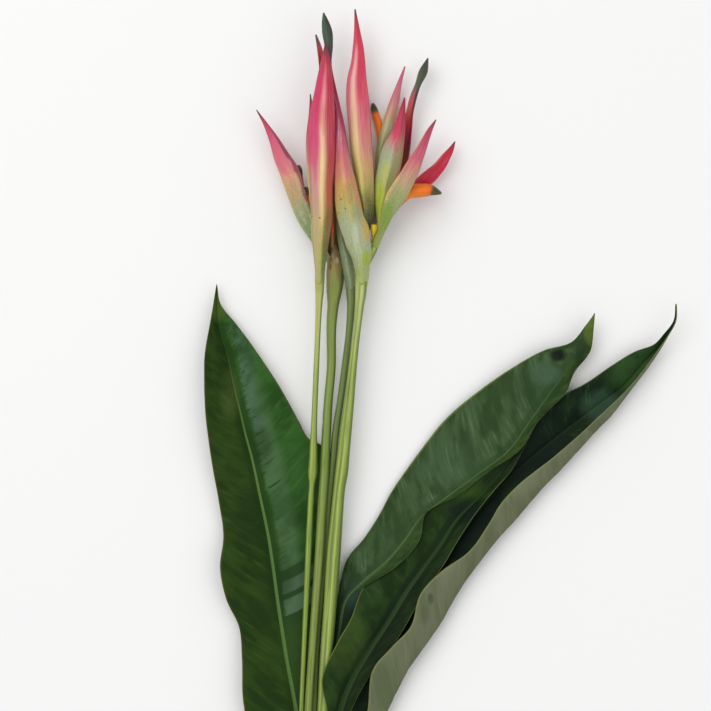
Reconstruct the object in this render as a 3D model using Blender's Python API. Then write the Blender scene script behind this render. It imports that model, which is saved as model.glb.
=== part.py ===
"""A cut bunch of parrot heliconia, lying face up: four flowering stems and four leaves.

Sizes are in millimetres and are turned into metres where each mesh is made. X runs across
the bunch, Y from the cut ends to the bract tips, and Z up from the surface it lies on.
Each leaf, bract and floret is set out by stations: places along it, measured by hand,
which a smooth curve joins.
"""

import math

import bmesh
import bpy
import numpy as np

MM = 0.001

# Where the middle of the whole bunch lies, in the frame of the stations below.
BUNCH_MIDDLE_X = 56.5
BUNCH_MIDDLE_Y = -63.8

GAP = 0.3
BRACT_WALL = 0.7
LEAF_WALL = 0.7
CUT_END_Y = -354.0

# How fine the pieces are.
BRACT_ROWS = 12
BRACT_COLUMNS = 7
LEAF_ROWS = 27
STEM_SIDES = 10
STEM_ROWS = 28
FLORET_SIDES = 7
FLORET_ROWS = 7

# A bract's section: how square its keel is, and how much thicker its wall is there.
KEEL_POWER = 1.6
KEEL_WALL = 1.25

# The rib under a leaf: half its width and its depth at the petiole, and at the leaf's tip.
RIB_HALF_WIDTH = (1.7, 0.3)
RIB_DEPTH = (3.4, 0.2)
RIB_FADE = 0.7
PETIOLE_HALF_WIDTH = 2.7
PETIOLE_TOP = 6.6

# The band of raffia that ties the bunch.
TIE_Y = (-312.0, -303.0)
TIE_WALL = 0.7
TIE_CORNERS = 12

COLOURS = {
    "stem": (0.38, 0.42, 0.10),
    "sheath": (0.30, 0.36, 0.08),
    "leaf": (0.030, 0.080, 0.018),
    "pink": (0.58, 0.07, 0.13),
    "olive": (0.33, 0.35, 0.12),
    "orange": (0.90, 0.20, 0.02),
    "yellow": (0.75, 0.55, 0.04),
    "raffia": (0.55, 0.42, 0.22),
}

# Stems, from the cut end to the top of the rachis: x, y, z of the middle, and radius.
STEMS = {
    "stem_1": (
        (-37.6, -352, 9.4, 1.9), (-37, -300, 9.4, 1.9), (-36.3, -250, 9.9, 1.8),
        (-34, -190, 11, 1.8), (-31.3, -130, 12.5, 2.1), (-29.7, -96, 13.8, 2.0),
        (-28.9, -84, 14.3, 2.1), (-28.6, -80, 14.5, 2.9), (-28.2, -70, 15, 2.8),
        (-27.7, -50, 16, 2.1), (-26.1, -10, 19, 1.9), (-24.7, 24, 22, 2.1),
        (-24.2, 36, 23.1, 2.4), (-23.9, 40.5, 23.7, 2.3), (-23.8, 45, 23.9, 1.6),
        (-23.2, 62, 24.2, 1.7), (-22.8, 78, 24.5, 1.5), (-22.5, 92, 25, 1.1),
    ),
    "stem_2": (
        (-34.3, -356, 14.9, 3.0), (-33.9, -300, 14.9, 3.0), (-31.5, -240, 14.4, 2.7),
        (-28.3, -190, 13.7, 2.7), (-26.3, -163, 13.3, 2.8), (-23.9, -130, 12.9, 3.1),
        (-22.1, -99, 12.6, 3.2), (-21, -84, 12.4, 3.2), (-19.3, -50, 12, 3.1),
        (-18.1, -30, 12, 3.0), (-16.3, -10, 12, 3.0), (-15.8, 24, 12, 3.5),
        (-14.9, 37, 12, 3.6), (-13.9, 47, 12, 3.7), (-13.6, 51, 12, 3.4),
        (-14.1, 55, 12.1, 2.3), (-14.6, 59, 12.3, 1.7), (-15.5, 74, 12.6, 1.7),
        (-16, 86, 12.8, 1.1),
    ),
    "stem_3": (
        (-30.9, -350, 9.9, 2.5), (-30.5, -300, 9.9, 2.5), (-28, -250, 9.5, 2.4),
        (-26.2, -200, 8.5, 2.4), (-23.2, -163, 8.2, 2.4), (-19.8, -130, 8.2, 2.4),
        (-17.7, -97, 8.6, 2.4), (-14.9, -70, 9.4, 2.4), (-13, -50, 10, 2.5),
        (-10, -30, 10.5, 2.4), (-7.3, -10, 11, 2.4), (-3.5, 24, 11.8, 2.5),
        (-2.7, 36, 11.9, 2.7), (-3, 43, 12, 2.5), (-3, 48, 12, 2.2), (-2.3, 60, 12.3, 2.0),
        (2, 74, 12.8, 1.8), (6, 83, 13.1, 1.6), (8.9, 89.5, 13.4, 1.3),
        (10.5, 95, 13.3, 0.9),
    ),
    "stem_4": (
        (-24.7, -358, 14, 4.2), (-24.4, -300, 14, 4.2), (-21.5, -240, 13.9, 4.2),
        (-18.7, -190, 13.6, 4.2), (-16.7, -163, 13.5, 4.4), (-14.5, -132, 13.5, 4.6),
        (-12.2, -104, 13.6, 4.1), (-10.7, -88, 13.9, 3.9), (-9.2, -77.5, 14.3, 4.3),
        (-8, -66, 14.9, 4.1), (-6.4, -50, 15.5, 3.9), (-4.1, -30, 16.5, 3.3),
        (-2.1, -10, 18, 2.8), (1.7, 24, 19.5, 2.7), (2.7, 34, 19.8, 2.9), (3.4, 42, 20, 3.0),
        (3.6, 47, 20, 2.6), (4.4, 54, 19.6, 2.4), (6.6, 60, 19.4, 2.2), (9.9, 66.5, 19.4, 1.8),
        (12.5, 71.6, 19.2, 1.5), (16.7, 81, 18.8, 1.3), (20.6, 90, 18.5, 1.0),
    ),
}

# Bracts, from base to tip. First the way that the keel faces. A station is x, y, z between
# the two margins, half the opening between them, and the depth from there to the keel.
BRACTS = {
    "bract_1_1": ((0.05, 0, 1), (
        (-23.8, 47.5, 24, 3.1, 3.3), (-23.6, 57, 24.2, 3.4, 4.2), (-23.3, 71, 24.8, 5.0, 5.6),
        (-22.3, 93.7, 26.4, 7.3, 7.2), (-22.5, 111, 27.4, 7.8, 7.8), (-22, 135, 28.2, 9, 8),
        (-21.9, 157.7, 28.6, 8.5, 7), (-20.6, 177, 28.8, 6.2, 5.4),
        (-19.8, 193, 28.8, 3.6, 3.2), (-19.7, 207, 28.6, 0.5, 0.6),
    )),
    "bract_1_2": ((-1, 0, 0), (
        (-23.2, 66, 24.2, 2.9, 3.1), (-25.3, 74, 23.2, 3.0, 3.4),
        (-26, 84, 22, 2.7, 3.6), (-25.8, 98, 21.2, 2.2, 4.2),
        (-26.2, 118, 20.6, 2.2, 5.6), (-26.4, 147, 20.8, 1.9, 6.3),
        (-27.2, 160, 21.4, 1.3, 4), (-29.7, 173.7, 22.4, 0.5, 0.6),
    )),
    "bract_1_3": ((0, 0, -1), (
        (-22.6, 85, 24.7, 2.3, 2.5), (-22.4, 97, 25.1, 3.4, 3.6), (-22.2, 112, 25.8, 4.4, 4.6),
        (-22, 140, 26.6, 4.6, 4.8), (-22.3, 168, 27, 4.0, 3.8), (-21.9, 190, 27, 2.3, 2.2),
        (-23.7, 203, 27, 1.8, 1.6), (-26.3, 212.7, 27, 0.5, 0.6),
    )),
    "bract_2_1": ((-0.93, -0.37, 0), (
        (-15.1, 62, 12.3, 3.0, 3.2), (-18.4, 69, 12.7, 3.6, 4.6), (-23, 78, 13.3, 4.3, 6.6),
        (-28.6, 92, 14, 5.2, 10), (-33.3, 110, 14.5, 5.2, 12.6),
        (-37.7, 124.3, 15, 4.3, 13.3), (-44.3, 134.3, 15.3, 3.1, 11),
        (-52, 146, 15.6, 2.2, 6.5), (-59, 155.2, 15.8, 1.3, 2.9),
        (-65.7, 163.7, 16, 0.5, 0.6),
    )),
    "bract_2_2": ((0, 0, -1), (
        (-13.9, 47.5, 12, 5.3, 5.5), (-13.6, 54, 11.7, 5.4, 5.9),
        (-13.5, 61, 10.4, 5.5, 6.7), (-13.5, 70, 8.8, 5.6, 7.4),
        (-13.5, 90, 8, 6.3, 8.3), (-13.5, 115, 7.6, 5.6, 8), (-14.5, 140, 6.5, 3.6, 4.8),
        (-16, 162, 5.5, 0.5, 0.6),
    )),
    "bract_3_1": ((0, 0, 1), (
        (-3, 44.5, 12, 3.6, 3.8), (-3.5, 50, 13.2, 3.8, 3.8), (-4.6, 56, 14.8, 3.9, 3.7),
        (-5.9, 63, 15.4, 3.6, 3.5), (-7.5, 70, 15.6, 3.2, 3.1), (-9.4, 79, 15.6, 2.8, 2.8),
        (-10.6, 92, 15.4, 2.6, 2.6), (-11.2, 110, 15, 2.4, 2.2), (-11, 128, 15, 0.5, 0.6),
    )),
    "bract_3_2": ((-0.34, 0, 0.94), (
        (6, 83, 13.1, 3.7, 3.9), (7.6, 92, 15, 4.4, 5), (7.6, 100, 16, 5.5, 6.2),
        (6.3, 111, 17, 6.6, 7.5), (5.4, 123.7, 17.5, 7.2, 8), (4, 136.3, 18, 7.8, 8),
        (2.7, 154.3, 18, 8, 7.5), (1.4, 170.3, 18, 8, 7), (0.9, 183.7, 18, 6.9, 6),
        (1.7, 193.7, 18, 5.3, 5), (1.8, 203.7, 18, 4.1, 3.8), (1, 216, 18, 2.2, 2),
        (-0.3, 230.3, 18, 0.5, 0.6),
    )),
    "bract_3_3": ((-0.3, 0, 0.95), (
        (9.6, 91.5, 13.4, 2.5, 2.7), (13.4, 104, 10, 3.7, 4), (16.5, 120, 8, 4.4, 4.5),
        (18, 138.3, 7.5, 4.2, 4.5), (21.6, 154.3, 7.5, 3.9, 4.2), (26.3, 170.5, 7.5, 3.3, 3),
        (29, 180.5, 7.6, 1.9, 2), (33, 193, 8, 0.5, 0.6),
    )),
    "bract_4_1": ((0, 0, 1), (
        (3.8, 47.5, 20, 4.3, 4.5), (4.5, 54, 20.9, 4.6, 4.9), (4.1, 60, 22.4, 5.5, 5.6),
        (3.9, 67, 23.4, 7.2, 6.3), (1.8, 75, 24.2, 8.5, 6.9), (0.2, 82, 24.8, 9.4, 7.3),
        (-2.9, 90.3, 25.5, 9, 8), (-5, 101, 26.5, 8.7, 8), (-6.6, 113.7, 26.8, 7.3, 7.5),
        (-8.2, 126.3, 26.5, 5.5, 6.3), (-9.2, 137, 26, 4.5, 5), (-10.6, 154.3, 24.6, 3, 3.4),
        (-13, 167.7, 23.6, 2.4, 2.5),
        (-15.5, 179, 23.2, 2.3, 2.2), (-18, 194.3, 23.4, 2.2, 1.8),
        (-17.8, 206.3, 24, 2.9, 1.4), (-18.8, 215, 24.6, 3.4, 1.3),
        (-20, 221, 25, 2.4, 1.1), (-21.2, 227.3, 25.4, 0.5, 0.6),
    )),
    "bract_4_2": ((0.82, -0.38, 0.43), (
        (12.9, 72.5, 19.2, 2.6, 2.8), (14.8, 77, 21.2, 2.6, 3.1), (16.9, 82.5, 24, 2.8, 3.8),
        (18.5, 89, 26.6, 3.6, 5.4), (19.4, 96.7, 28, 4.4, 8.7), (21.4, 103.7, 28.4, 4.6, 11.2),
        (26, 112.3, 28.4, 4.6, 12), (30.2, 118.5, 28.4, 4.4, 10.8), (36.4, 129, 28.2, 3.7, 9),
        (41, 136, 28, 3, 6.4), (44.4, 142.5, 28, 2.3, 4.8), (47.8, 149, 28, 1.5, 3.4),
        (53.2, 156.3, 28, 0.5, 0.6),
    )),
    "bract_4_3": ((0.1, 0, 1), (
        (17.1, 82, 18.8, 2.4, 2.6), (17.2, 88.5, 18.4, 3.2, 3.5), (17.6, 96.5, 17.4, 4.3, 4.6),
        (18.5, 106, 16.2, 5.8, 5.4),
        (20, 116.3, 15.4, 7, 6), (22.3, 125, 15, 7.7, 6), (24.6, 135.7, 15, 7.4, 6),
        (28.8, 149, 15.4, 4.4, 4.6), (30.7, 160, 15.8, 2.6, 3), (32.7, 171.7, 16.2, 0.5, 0.6),
    )),
    "bract_4_4": ((0.5, 0, -0.87), (
        (20.2, 88.5, 18.5, 2.4, 2.6), (21.3, 97, 14, 2.8, 3.7), (25, 107, 11.5, 4.2, 5),
        (28.5, 120, 10.5, 5.2, 5.5), (31.5, 135, 10, 5.2, 5.5), (34, 151, 10.3, 4.3, 4.6),
        (36.2, 162, 10.6, 2.9, 3.2), (38.6, 172, 11, 2.8, 2.4), (41.8, 181, 11.4, 2.4, 1.5),
        (45.2, 189.3, 11.8, 3.3, 1.2), (48.3, 198.3, 12.2, 0.5, 0.6),
    )),
    "bract_4_5": ((0.77, -0.64, 0), (
        (23.5, 93.5, 18.3, 1.6, 1.8), (26.4, 98.5, 16.3, 2, 2.4), (29.8, 104.5, 12.8, 3, 4.2),
        (35, 111.3, 10.8, 3.6, 6), (40.7, 118, 10.5, 3.9, 8.8), (47.3, 123.7, 10.5, 3.8, 9.4),
        (52.3, 127.7, 10.8, 3.4, 8), (57.5, 133.7, 11.2, 2.8, 6.4),
        (62.7, 139, 11.6, 1.8, 3.6), (66.2, 143, 12, 0.5, 0.6),
    )),
}

# Bracts that turn round the rachis near their base: the way the keel faces there.
BASE_KEELS = {"bract_4_2": (0.2, 0, 1), "bract_4_3": (-0.7, 0, 0.7)}
KEEL_TURN_ROWS = 3

# Florets, from base to tip: x, y, z of the middle, and radius.
FLORETS = {
    "floret_2_1": ((-20, 76, 12.2, 1.4), (-26, 88, 11.8, 1.6), (-31.5, 98, 11.9, 1.7),
                   (-34, 105, 12.4, 1.7), (-35.3, 110.5, 12.9, 1.7), (-36.9, 118.5, 14, 1.8),
                   (-37.4, 124, 14.2, 1.8), (-37.8, 126.8, 14.3, 0.8)),
    "floret_2_2": ((-18.6, 76, 15.5, 1.3), (-24, 88, 15.4, 1.9), (-29.4, 98, 15.6, 2.3),
                   (-31.4, 105, 15.6, 2.3), (-32.6, 110.2, 15.6, 1.9),
                   (-33, 112.3, 15.6, 0.8)),
    "floret_2_3": ((-15.6, 72, 15.9, 1.0), (-15.4, 84, 17.5, 1.3), (-14.9, 98, 18.5, 0.6)),
    "floret_3_1": ((10.9, 98, 11.4, 0.9), (13.4, 108, 9, 1.5), (15.6, 122, 6, 1.9),
                   (16.6, 135, 4.3, 2.1), (16.6, 147, 3.7, 2.4), (15.4, 155, 3.8, 2.5),
                   (13.4, 161, 4, 2.5), (12.2, 165.8, 4.4, 2.0), (11.5, 168.6, 4.8, 0.8)),
    "floret_4_1": ((21.8, 92.5, 20.4, 1.0), (26.5, 100, 20.6, 1.8), (32, 106, 20.3, 3.5),
                   (37.5, 109.2, 20, 4.5), (43, 109.8, 19.8, 4.5), (49, 110, 20, 3.9),
                   (52.5, 109.2, 20.2, 2.8), (55.5, 108.2, 20.4, 1.5),
                   (57.2, 107.8, 20.5, 0.6)),
    "floret_4_2": ((10.6, 74.5, 18, 1.0), (11.2, 78.5, 18.6, 1.9), (12, 83, 19.3, 2.4),
                   (12.5, 86, 19.6, 2.0), (12.7, 87.5, 19.7, 0.7)),
}

# Leaves, from tip to petiole. A station is the left margin, the top of the midrib and the
# right margin, and on the curled leaf also the point that pulls its right half outwards.
LEFT_LEAF = (
    ((-92.9, 47.3, 6), (-92.7, 47.7, 6), (-92.5, 47.3, 6)),
    ((-94.5, 37, 7), (-93, 35, 5.5), (-90.5, 35, 7)),
    ((-97, 21.7, 9), (-91.7, 18.3, 4.5), (-79.7, 21, 8)),
    ((-100.3, 2.3, 11), (-86.3, 2.3, 4), (-67.7, 5, 10)),
    ((-100.8, -17.7, 13), (-81.7, -19, 3.4), (-51.7, -19, 11)),
    ((-99.7, -41.7, 13), (-76.7, -39.7, 3.2), (-38.3, -43, 9)),
    ((-97.9, -57, 12), (-73.6, -53, 3), (-31.5, -55.2, 7.2)),
    ((-95.9, -71, 11), (-70.3, -65, 2.8), (-21, -61.5, 5)),
    ((-91, -99, 8), (-64.3, -92.3, 2.6), (-21.7, -96.3, 4.4)),
    ((-88.3, -123, 8), (-58, -123, 2.4), (-22.3, -126.3, 4.2)),
    ((-90.3, -141.7, 12), (-55, -143, 2.4), (-23.3, -149.7, 4.2)),
    ((-86.3, -162.3, 11), (-52.3, -163, 2.6), (-25, -169.7, 4.2)),
    ((-77.7, -181.7, 8), (-49, -184.3, 3.6), (-27, -193, 4.3)),
    ((-75.7, -203, 10), (-45.7, -205, 4), (-29, -213, 4.6)),
    ((-75, -229.7, 11), (-41.3, -227.7, 4.6), (-32.3, -233, 5)),
    ((-69, -253, 9), (-37.7, -251.7, 5.4), (-33, -251.7, 5.6)),
    ((-53, -275, 7.5), (-36.3, -273, 6.2), (-33.3, -273, 6.4)),
    ((-39.3, -293, 6.6), (-36.1, -293, 6.5), (-33, -293, 6.6)),
)
UPPER_LEAF = (
    ((159, 27.7, 12), (159.3, 28.3, 12), (159.7, 27.7, 12)),
    ((153.7, 20.3, 11), (156.3, 17.7, 12.5), (158.7, 16.3, 11.5)),
    ((145, 9.7, 10), (151.7, 6.3, 13), (157, 3.7, 10.5)),
    ((126.3, 3.7, 9), (141.7, -8.3, 14), (146.3, -11, 11)),
    ((104.3, -8.3, 7), (129, -25.7, 14.5), (139.7, -25.7, 11)),
    ((81.7, -24.3, 5), (116.3, -43.7, 15), (123.7, -41, 12.5)),
    ((61, -41.7, 4), (102.3, -63, 15), (110.3, -62.3, 13)),
    ((44.3, -62.3, 3.2), (81.7, -79, 15), (88.3, -77.7, 14)),
    ((32.3, -79, 3), (61.7, -93.7, 15), (67.7, -93.7, 14)),
    ((23, -93, 3), (43, -109, 14.5), (46.7, -105.7, 14.2)),
    ((15.7, -107, 3), (32.3, -123.7, 14), (42.3, -123.7, 13)),
    ((5.7, -122.3, 3.4), (20.3, -137.7, 13), (27.7, -140.3, 12.4)),
    ((-6.3, -137.7, 4.4), (5.7, -150.3, 10.6), (9.7, -151.7, 10.6)),
    ((-11.7, -159.7, 5), (-5.7, -163, 7.6), (1.2, -158.2, 8.9)),
    ((-15, -183, 5.4), (-11, -185.7, 6.6), (-3, -182.5, 7.2)),
    ((-20.3, -216.3, 5.6), (-17, -217.7, 6.4), (-14.3, -216.3, 6.4)),
    ((-29, -256.3, 6.2), (-26, -256.3, 6.4), (-23, -256.3, 6.2)),
)
INNER_LEAF = (
    ((117, -50.3, 10), (117.7, -49.7, 10), (118.3, -50.3, 10)),
    ((94.3, -68.3, 10.4), (101.7, -72.3, 9), (105, -75, 10.5)),
    ((71, -85, 10.6), (85, -92.3, 8.4), (93.7, -88.3, 12)),
    ((51, -101.7, 10.4), (67, -111, 8), (80.3, -105, 13)),
    ((35, -118.3, 9.8), (56.3, -127.7, 7.8), (68.3, -123, 13)),
    ((20.3, -136.3, 9), (45.7, -141.7, 7.6), (58.3, -140.3, 13)),
    ((5, -155, 8), (34.3, -157.7, 7.8), (46.3, -157, 13)),
    ((-3, -175, 14), (23, -176.3, 8.4), (37, -173.7, 13.6)),
    ((-11.7, -190.3, 17.6), (10.3, -195.7, 9.4), (27, -190.3, 13.6)),
    ((-22.3, -215, 20.2), (-2.3, -217, 10.4), (12.3, -209, 13)),
    ((-19, -235, 19.6), (-10, -236.3, 10.8), (-0.3, -231, 12.4)),
    ((-16.8, -256.3, 14.4), (-13.8, -257.7, 10.4), (-10, -256.3, 11.4)),
    ((-18.8, -279.7, 10.8), (-16.2, -279.7, 10.4), (-13.5, -279.7, 10.8)),
)
OUTER_LEAF = (
    ((213, 34, 15), (213.3, 34.3, 15), (213.7, 34, 15), (213.6, 34.2, 15)),
    ((212.1, 23.7, 13), (212.7, 23.7, 13), (213.1, 23, 13.2), (213.3, 23.3, 13)),
    ((205.7, 14.3, 10), (206.7, 13.3, 9.6), (207.7, 12.3, 10.6), (207.9, 12.7, 10)),
    ((199.7, 7.7, 9), (201.7, 5, 7), (200.3, 1.7, 11), (203.1, 4.3, 9)),
    ((187, 2.7, 8.4), (193, -4.3, 5.4), (189.7, -12.3, 13), (196.3, -5.7, 8)),
    ((171, -6.7, 7.6), (179, -20.3, 4.2), (175.7, -27.7, 14), (182.3, -24.3, 8)),
    ((153, -19, 6.6), (163, -32.3, 3.6), (162.3, -40.3, 14.6), (170.3, -39.7, 8)),
    ((140.3, -25.7, 6), (151, -41.7, 3.2), (149.7, -52.3, 15), (160.3, -49.7, 8)),
    ((116.3, -49.7, 5), (133.7, -55, 2.8), (131.7, -67.7, 15), (141.7, -70.3, 8)),
    ((94.3, -71, 4.4), (113, -72.3, 2.5), (111, -83.7, 15.4), (123.7, -89, 8)),
    ((73, -91, 4.2), (94.3, -91, 2.3), (97, -98.3, 15.6), (107.7, -107.7, 8)),
    ((56.3, -113, 4.2), (79, -108.3, 2.3), (87.7, -113.7, 15.6), (93, -123.7, 8)),
    ((41.7, -133, 4.2), (67, -126.3, 2.3), (75.7, -130.3, 15.8), (79, -141.7, 8)),
    ((28.3, -153, 4.2), (53.7, -144.3, 2.6), (57, -143.7, 16.4), (67, -159.7, 8.4)),
    ((17.7, -171, 4.4), (41.7, -163, 3.4), (43, -159, 17), (57, -177.7, 9)),
    ((8.3, -189.7, 4.8), (29.7, -181.7, 3.8), (37, -179.7, 17.6), (46.3, -193, 9.6)),
    ((-0.3, -209.7, 5.2), (17.7, -201, 4.4), (24.3, -193.7, 17.6), (35, -209, 10)),
    ((-5.7, -226.3, 5.6), (7, -219.7, 5), (11, -210.3, 17), (27, -224.3, 10)),
    ((-9.7, -243, 5.2), (-2.3, -239.7, 4.8), (7.7, -237.7, 14), (17.7, -242.3, 9)),
    ((-15.3, -263, 4.6), (-11.3, -264.3, 4.4), (-3.3, -263, 8), (2, -265, 6.4)),
    ((-24, -286.3, 5.8), (-21.5, -286.3, 5.6), (-19.2, -286.3, 5.8), (-20.3, -286.3, 5.7)),
)

# Each leaf's stations, where its petiole passes the tie, how far its halves arch, and the
# number of columns beyond the rib on each half.
LEAVES = {
    "leaf_left": (LEFT_LEAF, (-36.0, PETIOLE_TOP), (0.06, 0.03), (3, 3)),
    "leaf_upper": (UPPER_LEAF, (-29.6, PETIOLE_TOP), (0.10, 0.05), (3, 3)),
    "leaf_inner": (INNER_LEAF, (-17.4, PETIOLE_TOP + 3.8), (0.12, 0.03), (3, 3)),
    "leaf_outer": (OUTER_LEAF, (-23.2, PETIOLE_TOP), (0.03, 0.0), (3, 6)),
}


def clear_scene():
    """Remove what a new scene starts with."""
    for thing in list(bpy.data.objects):
        bpy.data.objects.remove(thing, do_unlink=True)


def make_material(name, colour, roughness):
    """A plain material with one colour."""
    material = bpy.data.materials.new(name)
    material.use_nodes = True
    shader = material.node_tree.nodes["Principled BSDF"]
    shader.inputs["Base Color"].default_value = (*colour, 1.0)
    shader.inputs["Roughness"].default_value = roughness
    shader.inputs["Metallic"].default_value = 0.0
    return material


def smooth_rows(stations, count, lead=3):
    """Read rows at even steps from a smooth curve through the stations."""
    points = np.array(stations, dtype=float)
    steps = np.linalg.norm(np.diff(points[:, :lead], axis=0), axis=1)
    knots = np.concatenate([[0.0], np.cumsum(steps)])
    slopes = np.gradient(points, knots, axis=0)
    rows = []
    for place in np.linspace(0.0, knots[-1], count):
        span = min(int(np.searchsorted(knots, place, side="right")) - 1, len(knots) - 2)
        width = knots[span + 1] - knots[span]
        t = (place - knots[span]) / width
        rows.append(
            (2 * t**3 - 3 * t**2 + 1) * points[span]
            + (t**3 - 2 * t**2 + t) * width * slopes[span]
            + (3 * t**2 - 2 * t**3) * points[span + 1]
            + (t**3 - t**2) * width * slopes[span + 1]
        )
    return np.array(rows)


def unit(vectors):
    """Scale vectors to a length of one."""
    return vectors / np.linalg.norm(vectors, axis=-1, keepdims=True)


def add_piece(name, corners, faces, material, smooth_angle=40.0):
    """Make one named object from corners in millimetres and faces."""
    middle = np.array([BUNCH_MIDDLE_X, BUNCH_MIDDLE_Y, 0.0])
    mesh = bpy.data.meshes.new(name)
    mesh.from_pydata([tuple((corner - middle) * MM) for corner in corners], [], faces)
    shape = bmesh.new()
    shape.from_mesh(mesh)
    bmesh.ops.recalc_face_normals(shape, faces=shape.faces)
    shape.to_mesh(mesh)
    shape.free()
    mesh.shade_smooth()
    mesh.set_sharp_from_angle(angle=math.radians(smooth_angle))
    mesh.materials.append(material)
    piece = bpy.data.objects.new(name, mesh)
    bpy.context.collection.objects.link(piece)
    return piece


def sheet_faces(rows, columns):
    """Triangles of a closed sheet: an upper grid, a lower grid and the rim between them.

    Both faces are split along the same diagonals, so that the sheet keeps its thickness.
    """
    lower = rows * columns

    def at(row, column):
        return row * columns + column

    faces = []
    for row in range(rows - 1):
        for column in range(columns - 1):
            a, b = at(row, column), at(row, column + 1)
            c, d = at(row + 1, column + 1), at(row + 1, column)
            for one, two, three in ((a, b, c), (a, c, d)):
                faces.append((one, two, three))
                faces.append((three + lower, two + lower, one + lower))
    rim = [at(0, column) for column in range(columns)]
    rim += [at(row, columns - 1) for row in range(1, rows)]
    rim += [at(rows - 1, column) for column in range(columns - 2, -1, -1)]
    rim += [at(row, 0) for row in range(rows - 2, 0, -1)]
    for here, there in zip(rim, rim[1:] + rim[:1]):
        faces.append((here, here + lower, there + lower))
        faces.append((here, there + lower, there))
    return faces


def sheet(name, upper, lower, material):
    """A closed sheet between two grids of points."""
    rows, columns = upper.shape[:2]
    corners = np.concatenate([upper.reshape(-1, 3), lower.reshape(-1, 3)])
    return add_piece(name, corners, sheet_faces(rows, columns), material)


def tube(name, stations, sides, rows, material):
    """A closed round tube along stations of x, y, z and radius."""
    read = smooth_rows(stations, rows)
    middles, radii = read[:, :3], read[:, 3]
    along = unit(np.gradient(middles, axis=0))
    across = unit(np.cross(along, (0.0, 0.0, 1.0)))
    up = np.cross(across, along)
    turns = [2 * math.pi * side / sides for side in range(sides)]
    corners = [
        middles[row] + radii[row] * (math.cos(turn) * across[row] + math.sin(turn) * up[row])
        for row in range(rows)
        for turn in turns
    ]
    faces = []
    for row in range(rows - 1):
        for side in range(sides):
            following = (side + 1) % sides
            start = row * sides
            faces.append((start + side, start + following, start + sides + following,
                          start + sides + side))
    faces.append(tuple(range(sides)))
    faces.append(tuple(range((rows - 1) * sides, rows * sides)))
    return add_piece(name, corners, faces, material)


def bract(name, keel_way, stations, material):
    """A folded, boat-shaped bract with a keel, two flanks and an open side."""
    read = smooth_rows(stations, BRACT_ROWS)
    along = unit(np.gradient(read[:, :3], axis=0))
    turned = np.clip(np.arange(BRACT_ROWS) / KEEL_TURN_ROWS, 0.0, 1.0)[:, None]
    start = BASE_KEELS.get(name, keel_way)
    keel = (1.0 - turned) * np.array(start, dtype=float) + turned * np.array(keel_way)
    keel = unit(keel - np.sum(along * keel, axis=1)[:, None] * along)
    side = np.cross(along, keel)
    outer = np.zeros((BRACT_ROWS, BRACT_COLUMNS, 3))
    inner = np.zeros_like(outer)
    for row in range(BRACT_ROWS):
        half, depth = read[row, 3], read[row, 4]
        half_inside = max(half - BRACT_WALL, 0.2 * half)
        depth_inside = max(depth - BRACT_WALL * KEEL_WALL, 0.05 * depth)
        for column, share in enumerate(np.linspace(-1.0, 1.0, BRACT_COLUMNS)):
            arch = 1.0 - abs(share) ** KEEL_POWER
            middle = read[row, :3]
            outer[row, column] = middle + half * share * side[row] + depth * arch * keel[row]
            inner[row, column] = (
                middle + half_inside * share * side[row] + depth_inside * arch * keel[row]
            )
    outer[..., 2] = np.maximum(outer[..., 2], 0.0)
    inner[..., 2] = np.maximum(inner[..., 2], BRACT_WALL)
    return sheet(name, outer, inner, material)


def half_columns(rib_share, count):
    """Shares from the midrib to the margin: the rib's edge, then even steps."""
    return [rib_share + (1.0 - rib_share) * step / count for step in range(count + 1)]


def leaf(name, stations, petiole, arches, columns, material):
    """A leaf with its blade, the rib under it and its channelled petiole, in one piece."""
    rows = [tuple(np.ravel(station)) for station in stations]
    curled = len(stations[0]) == 4
    x, top = petiole
    for y in (-303.0, -325.0, CUT_END_Y + 6.0):
        left = (x - PETIOLE_HALF_WIDTH, y, top)
        right = (x + PETIOLE_HALF_WIDTH, y, top)
        row = left + (x, y, top - GAP) + right
        halfway = (x + PETIOLE_HALF_WIDTH / 2, y, top - GAP / 2)
        rows.append(row + halfway if curled else row)
    lead = np.array([row[3:6] + row[0:3] + row[6:] for row in rows])
    read = smooth_rows(lead, LEAF_ROWS)
    total = columns[0] + columns[1] + 3
    upper = np.zeros((LEAF_ROWS, total, 3))
    ribs = np.zeros((LEAF_ROWS, total))
    for number, row in enumerate(read):
        share = number / (LEAF_ROWS - 1)
        rib_half = RIB_HALF_WIDTH[1] + (RIB_HALF_WIDTH[0] - RIB_HALF_WIDTH[1]) * share
        rib_deep = RIB_DEPTH[1] + (RIB_DEPTH[0] - RIB_DEPTH[1]) * share**RIB_FADE
        middle = row[:3]
        halves = []
        for side, edge in enumerate((row[3:6], row[6:9])):
            span = np.linalg.norm(edge - middle)
            pull = (middle + edge) / 2 + np.array([0.0, 0.0, arches[side] * span])
            if side == 1 and curled:
                pull = 2 * row[9:12] - (middle + edge) / 2
            rib_share = min(0.5, rib_half / span)
            halves.append([
                (1 - t) ** 2 * middle + 2 * t * (1 - t) * pull + t**2 * edge
                for t in half_columns(rib_share, columns[side])
            ])
        line = halves[0][::-1] + [middle] + halves[1]
        upper[number] = line
        ribs[number, columns[0]:columns[0] + 3] = rib_deep
    down_rows = np.gradient(upper, axis=0)
    across_rows = np.gradient(upper, axis=1)
    facing = unit(np.cross(across_rows, down_rows))
    facing *= np.sign(facing[:, columns[0] + 1, 2])[:, None, None]
    lower = upper - facing * LEAF_WALL
    lower[..., 2] -= ribs
    lower[..., 2] = np.maximum(lower[..., 2], 0.0)
    upper[..., 2] = np.maximum(upper[..., 2], LEAF_WALL)
    return sheet(name, upper, lower, material)


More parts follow.
